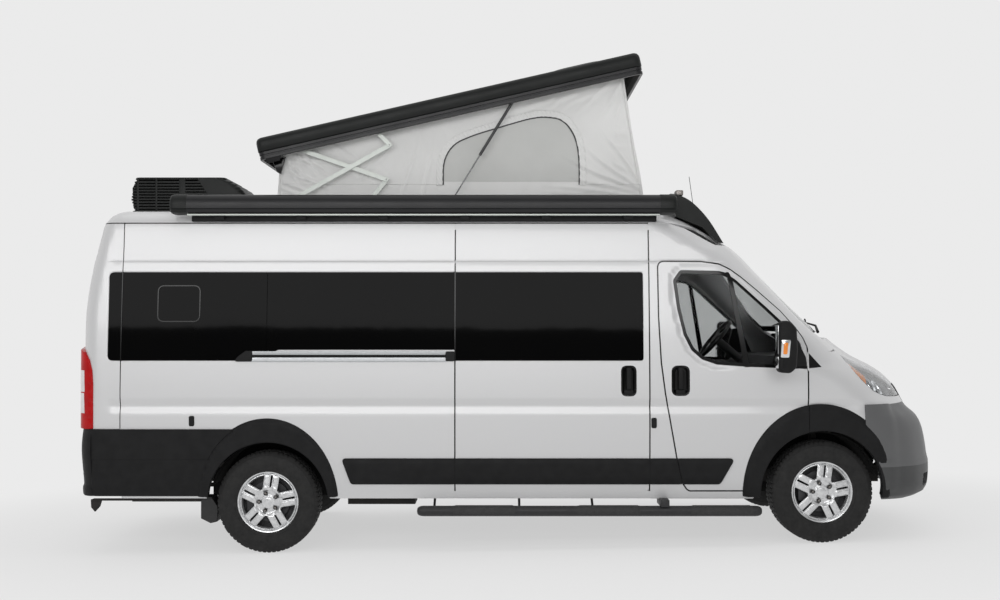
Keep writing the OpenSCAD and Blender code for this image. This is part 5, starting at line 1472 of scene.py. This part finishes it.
def ac_end(z):
    """Where the shroud ends at a height."""
    return float(np.interp(z, [0.0, 0.06, 0.12, 0.18, 0.22, 0.25, 0.268], [0.938, 0.932, 0.908, 0.865, 0.815,
        0.755, 0.70]))


def ac_start(z):
    """Where the shroud starts at a height."""
    return float(np.interp(z, [-0.03, 0.0, 0.10, 0.268], [0.05, 0.03, 0.0, 0.035]))


for k in range(11):
    z = 0.006 + 0.0225 * k
    x0, x1 = ac_start(z), ac_end(z)
    ring = rounded([(AX + x0, -0.338), (AX + x1, -0.338), (AX + x1, 0.338), (AX + x0, 0.338)], 0.05, 8)
    inner = [(AX + (x0 + x1) / 2 + (x - AX - (x0 + x1) / 2) * 0.955, y * 0.935) for x, y in ring]
    n = len(ring)
    verts = [(x, y, AZ + z + 0.004) for x, y in ring] + [(x, y, AZ + z - 0.007) for x, y in ring]
    verts += [(x, y, AZ + z + 0.012) for x, y in inner] + [(x, y, AZ + z + 0.002) for x, y in inner]
    faces = []
    for i in range(n):
        j = (i + 1) % n
        faces += [(i, j, n + j, n + i), (i, 2 * n + i, 2 * n + j, j), (n + i, n + j, 3 * n + j, 3 * n + i),
                  (2 * n + i, 3 * n + i, 3 * n + j, 2 * n + j)]
    b.add(verts, faces)
top = rounded([(AX + 0.035, -0.335), (AX + 0.748, -0.335), (AX + 0.748, 0.335), (AX + 0.035, 0.335)], 0.05, 8)
b.loft([[(x, y, AZ + z) for x, y in top] for z in (0.250, 0.258)]
    + [[(AX + 0.39 + (x - AX - 0.39) * 0.985, y * 0.985, AZ + 0.266) for x, y in top]])
nose = []
for z in np.linspace(0.0, 0.262, 12):
    x0, x1 = 0.69 - 0.17 * z / 0.262, ac_end(z) + 0.001
    nose.append([(x, y, AZ + z) for x, y in rounded([(AX + x0, -0.339), (AX + x1, -0.339), (AX + x1, 0.339),
        (AX + x0, 0.339)], [0.01, 0.06, 0.06, 0.01], 8)])
b.loft(nose)
for x in (0.055, 0.20, 0.385):
    rib_end = AX + x + (0.05 if x > 0.3 else 0.016)
    b.prism([(AX + x, AZ - 0.02), (rib_end, AZ - 0.02), (rib_end, AZ + 0.262), (AX + x, AZ + 0.256)],
        -0.339, 0.339, 0.003)
b.box((AX + 0.02, -0.338, AZ - 0.028), (AX + 0.936, 0.338, AZ + 0.006), 0.01)
b.make("ac_shroud", ROOF_BLACK)
b = Build()
for k in range(5):
    r = 0.04 + 0.026 * k
    b.tube([(AX + 0.40 + r * math.cos(a), r * math.sin(a), AZ + 0.2665) for a in np.linspace(0, 2 * math.pi,
        33)], 0.0035, 6, flat=0.4)
b.make("ac_fan_grille", PLASTIC)

# Fairing over the cab, with marker lamps and an antenna
FAIRING_TOP = smooth_curve([(0, 2.640), (0.04, 2.638), (0.08, 2.622), (0.13, 2.596), (0.18, 2.556),
    (0.27, 2.456), (0.385, 2.275)])
b = Build()
FAIRING_HALF = 0.788
rings = []
for y in np.linspace(-FAIRING_HALF, FAIRING_HALF, 41):
    e = (abs(y) / FAIRING_HALF) ** 5
    back = 0.028 * (abs(y) / FAIRING_HALF) ** 2.2
    ring = [(FRONT_X - 1.038 + t - back, y, float(FAIRING_TOP(t)) - 0.006 * (y / 0.79) ** 2 - 0.030 * e)
        for t in np.linspace(0, 0.385, 22)]
    ring += [(FRONT_X - 0.700 - back, y, 2.250), (FRONT_X - 0.84, y, 2.36), (FRONT_X - 1.038, y, 2.44)]
    rings.append(ring)
b.loft(rings)
b.make("cab_fairing", ROOF_BLACK, sharp=40)
b = Build()
for y in (-0.70, -0.30, 0, 0.30, 0.70):
    b.box((FRONT_X - 1.030, y - 0.05, 2.600), (FRONT_X - 0.975, y + 0.05, 2.6405), 0.008, segments=3)
    b.box((FRONT_X - 1.020, y - 0.03, 2.630), (FRONT_X - 0.998, y + 0.03, 2.6425), 0.006, segments=3, slot=1)
b.make("marker_lamps", [STEEL, AMBER], slot="lamp_lens")
b = Build()
b.tube([(FRONT_X - 0.800, -0.25, 2.40), (FRONT_X - 0.802, -0.25, 2.46), (FRONT_X - 0.812, -0.25, 2.50)],
    [0.016, 0.012, 0.006], 12)
b.tube([(FRONT_X - 0.812, -0.25, 2.49), (FRONT_X - 0.855, -0.25, 2.80)], 0.0022, 8)
b.make("antenna", RUBBER)

# ---------------------------------------------------------------- pop-top
# The lid turns by TILT about POLE. LID0 and LID1 are its ends when it is shut, and LID_Z its bottom edge.
POLE = (-3.323, 2.611)
TILT = math.radians(12.8)
LID0, LID1, LID_Z, LID_HALF = -1.790, 1.175, 2.525, 0.72
OPEN = (Matrix.Translation((POLE[0], 0, POLE[1])) @ Matrix.Rotation(-TILT, 4, "Y")
        @ Matrix.Translation((-POLE[0], 0, -POLE[1])))


def on_lid(along, up):
    """A side view's point on the open lid, from its rear end and its bottom edge."""
    v = OPEN @ Vector((LID0 + along, 0, LID_Z + up))
    return v.x, v.z


def lid_ring(d, up):
    """A rounded outline round the open lid, d inside its edge and up from its bottom edge."""
    half = LID_HALF - d
    ring = rounded([(LID0 + d, -half), (LID1 - d, -half), (LID1 - d, half), (LID0 + d, half)],
        max(0.01, 0.06 - d), 8)
    return [tuple(OPEN @ Vector((x, y, LID_Z + up))) for x, y in ring]


def lid_cap(d, up, flip):
    """Closes the lid inside its innermost ring."""
    ring = lid_ring(d, up)
    b.add(ring, [tuple(range(len(ring)))[::flip]])


OUTSIDE = [(0.004, 0.060), (0.0, 0.064), (0.0, 0.128), (0.004, 0.146), (0.014, 0.160), (0.030, 0.168),
    (0.06, 0.1705), (0.30, 0.171)]
INSIDE = [(0.30, 0.147), (0.05, 0.1465), (0.027, 0.140), (0.026, 0.060), (0.004, 0.060)]
b = Build().loft([lid_ring(*p) for p in OUTSIDE], caps=False)
lid_cap(*OUTSIDE[-1], 1)
b.loft([lid_ring(*p) for p in INSIDE], caps=False)
lid_cap(*INSIDE[0], -1)
b.make("lid_shell", ROOF_BLACK, "pop_top", "pop_top_lid", sharp=50)
EXTRUSION = [(0.006, 0.0), (0.004, 0.002), (0.004, 0.022), (0.009, 0.025), (0.009, 0.033), (0.004, 0.036),
    (0.004, 0.055), (0.007, 0.0585), (0.027, 0.0585), (0.027, 0.0), (0.006, 0.0)]
b = Build().loft([lid_ring(*p) for p in EXTRUSION], caps=False)
b.make("lid_rail", AWNING, "pop_top", sharp=30)
DOME_X = 0.72
dome = [[tuple(OPEN @ Vector((DOME_X + (x - DOME_X) * k, y * k, LID_Z + 0.169 + h))) for x, y in
    rounded([(0.46, -0.60), (0.96, -0.60), (0.96, 0.60), (0.46, 0.60)], 0.16, 8)] for k, h in
    ((1.0, 0.0), (0.97, 0.016), (0.92, 0.030), (0.82, 0.042), (0.6, 0.050), (0.3, 0.054))]
b = Build().loft(dome)
b.make("lid_vent", ROOF_BLACK, "pop_top", sharp=50)
b = Build()
bracket = [on_lid(*p) for p in ((0.05, -0.035), (0.15, -0.035), (0.17, 0.0), (0.05, 0.0))]
for y in (-0.7095, 0.7095):
    b.prism(bracket, y - 0.0065, y + 0.0065, 0.002)
b.make("lid_brackets", PLASTIC, "pop_top")

# Tent: one continuous sheet round the opening, with folds
BASE_Z, TENT_Y = 2.5155, 0.592
TENT_REAR_X, TENT_FRONT_X = -1.712, 1.114
RING_X, RING_Y = 2.826, 1.184
AROUND = 2 * (RING_X + RING_Y)
CREASE_SHARE = 1.7
FOLDS = [(random.uniform(0, 1), random.uniform(0.012, 0.05), random.uniform(-0.5, 0.5),
    random.uniform(0.2, 1)) for _ in range(46)]
# Each crease's two ends, its width and its height in millimetres
CREASES = [((1.08, 2.645), (0.64, 3.00), 16, 8), ((1.08, 2.64), (0.52, 2.90), 15, 8),
    ((1.07, 2.62), (0.56, 2.76), 13, 7), ((1.06, 2.60), (0.34, 2.70), 13, 6), ((1.09, 2.66), (0.78, 3.12), 12,
    6), ((0.40, 3.36), (0.15, 3.24), 12, 5), ((0.57, 3.39), (0.35, 3.28), 12, 6), ((0.83, 3.45), (0.56, 3.24),
    14, 7), ((0.96, 3.50), (0.74, 3.20), 14, 7), ((0.97, 3.46), (0.86, 3.12), 12, 5),
    ((0.88, 3.10), (1.00, 3.06), 18, 8), ((0.84, 3.02), (0.97, 2.98), 14, 6), ((0.70, 3.40), (0.47, 3.27), 10,
    5), ((0.25, 3.32), (0.02, 3.22), 10, 4), ((0.86, 2.86), (0.99, 2.74), 12, -5),
    ((-1.60, 2.90), (-1.33, 2.79), 12, 8), ((-1.57, 2.93), (-1.20, 2.84), 12, 7),
    ((-1.60, 2.85), (-1.43, 2.70), 12, 8), ((-1.63, 2.80), (-1.30, 2.66), 13, 8),
    ((-1.54, 2.95), (-1.40, 2.75), 11, 7), ((-1.50, 2.96), (-1.28, 2.72), 11, 6),
    ((-1.45, 2.98), (-1.18, 2.78), 12, 6), ((-1.66, 2.74), (-1.42, 2.60), 13, 8),
    ((-1.68, 2.68), (-1.30, 2.56), 12, 6), ((-1.62, 2.88), (-1.52, 2.66), 9, 6),
    ((-1.58, 2.90), (-1.50, 2.72), 8, 5), ((-1.30, 3.00), (-1.02, 2.86), 12, 4),
    ((-0.75, 2.56), (-0.62, 3.06), 14, 4), ((-0.58, 2.58), (-0.50, 3.08), 14, 4),
    ((-1.05, 2.74), (-0.85, 2.98), 14, 4), ((0.62, 2.58), (0.98, 2.56), 12, 5), ((0.70, 2.66), (0.30, 2.62),
    12, 4)]


def creased(x, z):
    """Sharp creases that run from the pulled corners and fade out."""
    d = np.zeros_like(x)
    for (ax, az), (bx, bz), width, height in CREASES:
        ex, ez = bx - ax, bz - az
        length = math.hypot(ex, ez)
        along = ((x - ax) * ex + (z - az) * ez) / length ** 2
        off = ((x - ax) * -ez + (z - az) * ex) / length
        off = off + 0.012 * np.sin(along * 4.5 + height)
        fade = bump((along + 0.12) / 0.25) * bump((1.15 - along) / 0.7)
        d += height / 1000 * (np.exp(-(off / (width / 1000)) ** 2) - 0.6
            * np.exp(-((off - 0.022) / 0.017) ** 2)) * fade
    return d


def tent_fold(s, t):
    """Outward movement of the cloth, from long soft folds between base and lid."""
    d = np.zeros_like(s)
    for centre, width, lean, size in FOLDS:
        a = (s - centre - lean * 0.09 * (t - 0.5) + 0.5) % 1 - 0.5
        d += 0.0065 * size * np.exp(-(a / (width * 0.22)) ** 2) * (0.35 + 0.65 * np.sin(t * 3.1 + lean * 5))
    d -= 0.012 * np.sin(np.clip(t, 0, 1) * math.pi) * 0.6
    d += 0.0022 * np.sin(s * 410 + 3 * np.sin(t * 9)) * (1 - bump(t / 0.16))
    return d * bump(t / 0.05) * bump((1 - t) / 0.05)


def tent_side(x, z):
    """How far up the cloth a side view's point is, and where it is round the ring."""
    (a0, b0), (a1, b1) = on_lid(0.165, 0.144), on_lid(2.842, 0.144)
    f = (x - TENT_REAR_X) / (TENT_FRONT_X - TENT_REAR_X)
    for _ in range(8):
        top_z = b0 + (b1 - b0) * f
        t = np.clip((z - BASE_Z) / (top_z - BASE_Z), 0, 1)
        left, right = TENT_REAR_X + (a0 - TENT_REAR_X) * t, TENT_FRONT_X + (a1 - TENT_FRONT_X) * t
        f = np.clip((x - left) / (right - left), 0, 1)
    return f, t


def tent_chart(u, z):
    """The cloth's right side, where u is x."""
    f, t = tent_side(u, z)
    return np.stack([u, -TENT_Y - tent_fold(f * RING_X / AROUND, t) - CREASE_SHARE * creased(u, z), z], -1)


n_x, n_y, n_t = 360, 90, 72
ring = [(k / n_x, 0.0) for k in range(n_x)] + [(1.0, k / n_y) for k in range(n_y)]
ring += [(1 - k / n_x, 1.0) for k in range(n_x)] + [(0.0, 1 - k / n_y) for k in range(n_y)]
fx, fy = np.array(ring).T
s = np.concatenate([np.arange(n_x) / n_x * RING_X, RING_X + np.arange(n_y) / n_y * RING_Y,
    RING_X + RING_Y + np.arange(n_x) / n_x * RING_X,
    2 * RING_X + RING_Y + np.arange(n_y) / n_y * RING_Y]) / AROUND
(a0, b0), (a1, b1) = on_lid(0.165, 0.144), on_lid(2.842, 0.144)
on_long = (fy == 0) | (fy == 1)
ny = np.where(fy == 0, -1.0, np.where(fy == 1, 1.0, 0.0))
nx = np.where(on_long, 0.0, np.where(fx == 1, 1.0, -1.0))
corner_x, corner_y = np.minimum(fx, 1 - fx) * 2.8, np.minimum(fy, 1 - fy) * RING_Y
soften = 0.03 * np.clip(1 - np.maximum(corner_x, corner_y) / 0.05, 0, 1) ** 2
rows = []
for t in np.linspace(0, 1, n_t):
    x = (1 - t) * (TENT_REAR_X + RING_X * fx) + t * (a0 + (a1 - a0) * fx)
    z = (1 - t) * BASE_Z + t * (b0 + (b1 - b0) * fx)
    d = tent_fold(s, np.full_like(s, t)) + CREASE_SHARE * creased(x,
        z) * on_long * bump(t / 0.05) * bump((1 - t) / 0.05)
    y = -TENT_Y + 2 * TENT_Y * fy + ny * d + np.sign(0.5 - fy) * soften
    rows.append(np.stack([x + nx * d + np.sign(0.5 - fx) * soften, y, z], -1))
tent = Build().loft([[tuple(p) for p in r] for r in rows], caps=False)
tent = tent.make("tent_cloth", TENT, replaces="tent", sharp=80)
ARCH = [(-0.433, 2.690), (-0.433, 2.80), (-0.425, 2.870), (-0.395, 2.945), (-0.331, 3.015), (-0.20, 3.075),
    (-0.053, 3.121), (0.12, 3.172), (0.25, 3.205), (0.324, 3.214), (0.426, 3.205), (0.495, 3.170),
    (0.543, 3.110), (0.575, 3.045), (0.593, 2.97), (0.602, 2.88), (0.604, 2.80), (0.604, 2.690)]
AT = smooth_curve([(k, p[0]) for k, p in enumerate(ARCH)]), smooth_curve([(k, p[1]) for k,
    p in enumerate(ARCH)])
WINDOW_ARCH = [(float(AT[0](k / 4)), float(AT[1](k / 4))) for k in range(4 * len(ARCH) - 3)][::-1]
ON_TENT = dict(chart=tent_chart, thin=True, sides="both")
pieces = panel("tent_window", MESH, [WINDOW_ARCH], cut=[rect(-0.60, 0.80, 2.60, 2.722)], lift=0.0015,
    depth=0.001, roll=0.0004, step=0.022, **ON_TENT)
below = rect(-0.60, 0.80, 2.60, 2.698)
pieces += panel("tent_zip", ZIP, [grown(WINDOW_ARCH, 0.0055)], cut=[grown(WINDOW_ARCH, -0.0055), below],
    lift=0.0055, depth=0.003, roll=0.001, step=0.02, **ON_TENT)
pieces += panel("tent_binding", TENT, [grown(WINDOW_ARCH, 0.046)], cut=[grown(WINDOW_ARCH, 0.006), below],
    lift=0.009, depth=0.008, roll=0.003, step=0.016, relief=lambda u, z: 0.0022 * np.sin((u + 0.6 * z) * 190),
    **ON_TENT)
pieces += panel("tent_hem", TENT, [rect(-1.66, 1.06, 2.702, 2.709)], cut=[rect(-0.48, 0.65, 2.60, 2.80)],
    lift=0.0035, depth=0.003, roll=0.001, step=0.03, **ON_TENT)
corner = [(-1.690, 2.790), (-1.662, 2.775), (-1.648, 2.82), (-1.625, 2.905), (-1.725, 2.880)]
gusset = Build().prism(corner, -0.634, -0.606, 0.004)
pieces += [gusset.make("tent_corner", GLOSS), gusset.mirrored().make("tent_corner_left", GLOSS)]
for obj in [tent] + pieces:
    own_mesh(obj)

# ---------------------------------------------------------------- cab interior
def cushion(low, high, bulge, turn=None, seams=()):
    """A crowned form with rounded sides and sewn channels across it."""
    n = 14
    low, high = np.array(low), np.array(high)
    bm = bmesh.new()
    bmesh.ops.create_cube(bm, size=2)
    bmesh.ops.subdivide_edges(bm, edges=bm.edges[:], cuts=n, use_grid_fill=True)
    for v in bm.verts:
        p = np.array(v.co)
        s = p / (np.sum(np.abs(p) ** 7) ** (1 / 7))
        crown = (1 - s ** 2).clip(0, 1)
        s = s * (1 - bulge * (1 - crown[[1, 2, 0]] * crown[[2, 0, 1]]) * (np.abs(s) > 0.6))
        for c in seams:
            if abs(s[1]) < 0.98:
                s[2] -= 0.05 * math.exp(-((s[1] - c) / 0.04) ** 2) * (s[2] > 0)
        v.co = Vector((low + high) / 2 + s * (high - low) / 2)
    if turn is not None:
        bmesh.ops.transform(bm, matrix=turn, verts=bm.verts[:])
    return bm


SEAT_X = FRONT_X - 1.16
for side, y in (("right", -0.45), ("left", 0.45)):
    x0 = SEAT_X
    lean = (Matrix.Translation((x0 + 0.16, y, 1.10)) @ Matrix.Rotation(math.radians(-14), 4, "Y")
            @ Matrix.Translation((-(x0 + 0.16), -y, -1.10)))
    parts = (("seat", cushion((x0 + 0.10, y - 0.25, 0.96), (x0 + 0.62, y + 0.25, 1.10), 0.06, None,
        (-0.55, 0.55))), ("back", cushion((x0 + 0.06, y - 0.235, 1.08), (x0 + 0.19, y + 0.235, 1.62), 0.06,
        lean)), ("headrest", cushion((x0 + 0.08, y - 0.13, 1.66), (x0 + 0.17, y + 0.13, 1.84), 0.08, lean)))
    for kind, bm in parts:
        replaced = "cab_seats" if kind == "seat" and side == "right" else ()
        obj = Build().take(bm).make(f"{kind}_cushion_{side}", SEAT, replaces=replaced, sharp=60)
    b = Build().box((x0 + 0.12, y - 0.20, 0.64), (x0 + 0.58, y + 0.20, 0.955), 0.02)
    for dy in (-0.06, 0.06):
        b.tube([tuple(lean @ Vector((x0 + 0.125, y + dy, z))) for z in (1.60, 1.70)], 0.006, 8)
    b.make(f"seat_base_{side}", CABIN)
panel("door_lining_right", CABIN, [grown(DOOR, -0.045)], cut=[grown(CAB_WINDOW, 0.012), FRONT_ARCH],
    lift=-0.032, depth=0.012, roll=0.003, step=0.05, body="cab_door_right", sides="both")
b = Build().box((FRONT_X - 1.40, -0.90, 0.66), (FRONT_X - 1.38, 0.90, 2.30), 0.004)
b.make("cab_partition", CABIN)
panel("cab_headliner", CABIN, [rect(FRONT_X - 1.36, FRONT_X - 0.86, -0.72, 0.72, 0.05)], chart=roof_chart,
    lift=-0.05, depth=0.01)

# ---------------------------------------------------------------- carried-over nodes
FINISH = {"chassis_metal": CHASSIS, "liner_plastic": LINER_AND_SHADE, "rubber": RUBBER, "step_coating": STEP,
    "cabin_plastic": CABIN, "zinc_steel": ZINC, "strut_paint": STRUT, "bright_metal": ROD,
    "roof_plastic": ROOF_BLACK, "paint": PAINT, "dark_plastic": PLASTIC, "dark_glass": DARK_GLASS,
    "clear_glass": CLEAR_GLASS, "tyre": TYRE, "alloy": ALLOY, "lamp_lens": LENS, "red_lens": RED,
    "seat_cloth": SEAT, "tent_fabric": TENT}
for part in frame["record"]["subparts"]:
    node = frame["nodes"][part["node"]]
    for place in node.material_slots:
        place.material = FINISH[part["material_slot"]]


# ---------------------------------------------------------------- studio
def radial_floor():
    """A pale floor that takes shadows near the van and fades to the backdrop's grey."""
    mesh = bpy.data.meshes.new("floor")
    s = FLOOR_HALF
    mesh.from_pydata([(-s, -s, 0), (s, -s, 0), (s, s, 0), (-s, s, 0)], [], [(0, 1, 2, 3)])
    floor = bpy.data.objects.new("floor", mesh)
    bpy.context.scene.collection.objects.link(floor)
    mat = bpy.data.materials.new("studio_floor")
    mat.use_nodes = True
    nodes, links = mat.node_tree.nodes, mat.node_tree.links
    shader, out = nodes["Principled BSDF"], nodes["Material Output"]
    shader.inputs["Base Color"].default_value = (FLOOR_ALBEDO, FLOOR_ALBEDO, FLOOR_ALBEDO, 1)
    shader.inputs["Roughness"].default_value = 1
    shader.inputs["Specular IOR Level"].default_value = 0
    glow = nodes.new("ShaderNodeEmission")
    glow.inputs["Color"].default_value = (BACKDROP, BACKDROP, BACKDROP, 1)
    place = nodes.new("ShaderNodeTexCoord")
    scale = nodes.new("ShaderNodeMapping")
    scale.inputs["Scale"].default_value = (1 / FADE_X, 1 / FADE_Y, 1)
    links.new(place.outputs["Object"], scale.inputs["Vector"])
    length = nodes.new("ShaderNodeVectorMath")
    length.operation = "LENGTH"
    links.new(scale.outputs["Vector"], length.inputs[0])
    fade = nodes.new("ShaderNodeMapRange")
    fade.interpolation_type = "SMOOTHSTEP"
    fade.inputs["From Min"].default_value = 0.62
    fade.inputs["From Max"].default_value = 1.0
    fade.inputs["To Min"].default_value = 0.68
    links.new(length.outputs["Value"], fade.inputs["Value"])
    mix = nodes.new("ShaderNodeMixShader")
    links.new(fade.outputs["Result"], mix.inputs[0])
    links.new(shader.outputs[0], mix.inputs[1])
    links.new(glow.outputs[0], mix.inputs[2])
    links.new(mix.outputs[0], out.inputs["Surface"])
    mesh.materials.append(mat)


def area_light(name, place, target, size, power):
    """A rectangular lamp at a place, facing a target."""
    light = bpy.data.lights.new(name, "AREA")
    light.shape = "RECTANGLE"
    light.size, light.size_y = size
    light.energy = power
    obj = bpy.data.objects.new(name, light)
    bpy.context.scene.collection.objects.link(obj)
    obj.location = place
    obj.rotation_euler = (Vector(target) - Vector(place)).to_track_quat("-Z", "Y").to_euler()


BACKDROP, FLOOR_ALBEDO = 0.83, 0.80
FLOOR_HALF = 90
FADE_X, FADE_Y = 6.5, 4.6
EYE = (0, -9.9, 1.639)
FRAME_RISE = 0.024
radial_floor()
world = bpy.data.worlds.new("studio")
bpy.context.scene.world = world
world.use_nodes = True
sky = world.node_tree.nodes["Background"]
nodes, links = world.node_tree.nodes, world.node_tree.links
sky.inputs["Color"].default_value = (1, 1, 1, 1)
# Darker behind the camera's side, so that the flank's gloss has something to show
split = nodes.new("ShaderNodeSeparateXYZ")
links.new(nodes.new("ShaderNodeTexCoord").outputs["Generated"], split.inputs[0])
dim = nodes.new("ShaderNodeMapRange")
dim.interpolation_type = "SMOOTHSTEP"
for key, value in (("From Min", -0.75), ("From Max", 0.1), ("To Min", 0.36), ("To Max", BACKDROP)):
    dim.inputs[key].default_value = value
links.new(split.outputs["Y"], dim.inputs["Value"])
links.new(dim.outputs["Result"], sky.inputs["Strength"])
area_light("top_light", (0, -1.5, 7.5), (0, 0, 0), (9, 5), 80)
area_light("side_light", (-1.5, -9.6, 4.3), (0, 0, 0.8), (11, 2.4), 345)

camera = bpy.data.objects.new("camera", bpy.data.cameras.new("camera"))
bpy.context.scene.collection.objects.link(camera)
camera.data.lens = 44.06
camera.data.sensor_width = 36
camera.data.shift_y = FRAME_RISE
camera.data.clip_end = 300
camera.matrix_world = BODY @ Matrix.Translation(EYE) @ Matrix.Rotation(QUARTER, 4, "X")
bpy.context.scene.camera = camera
bpy.context.scene.view_settings.view_transform = "Standard"
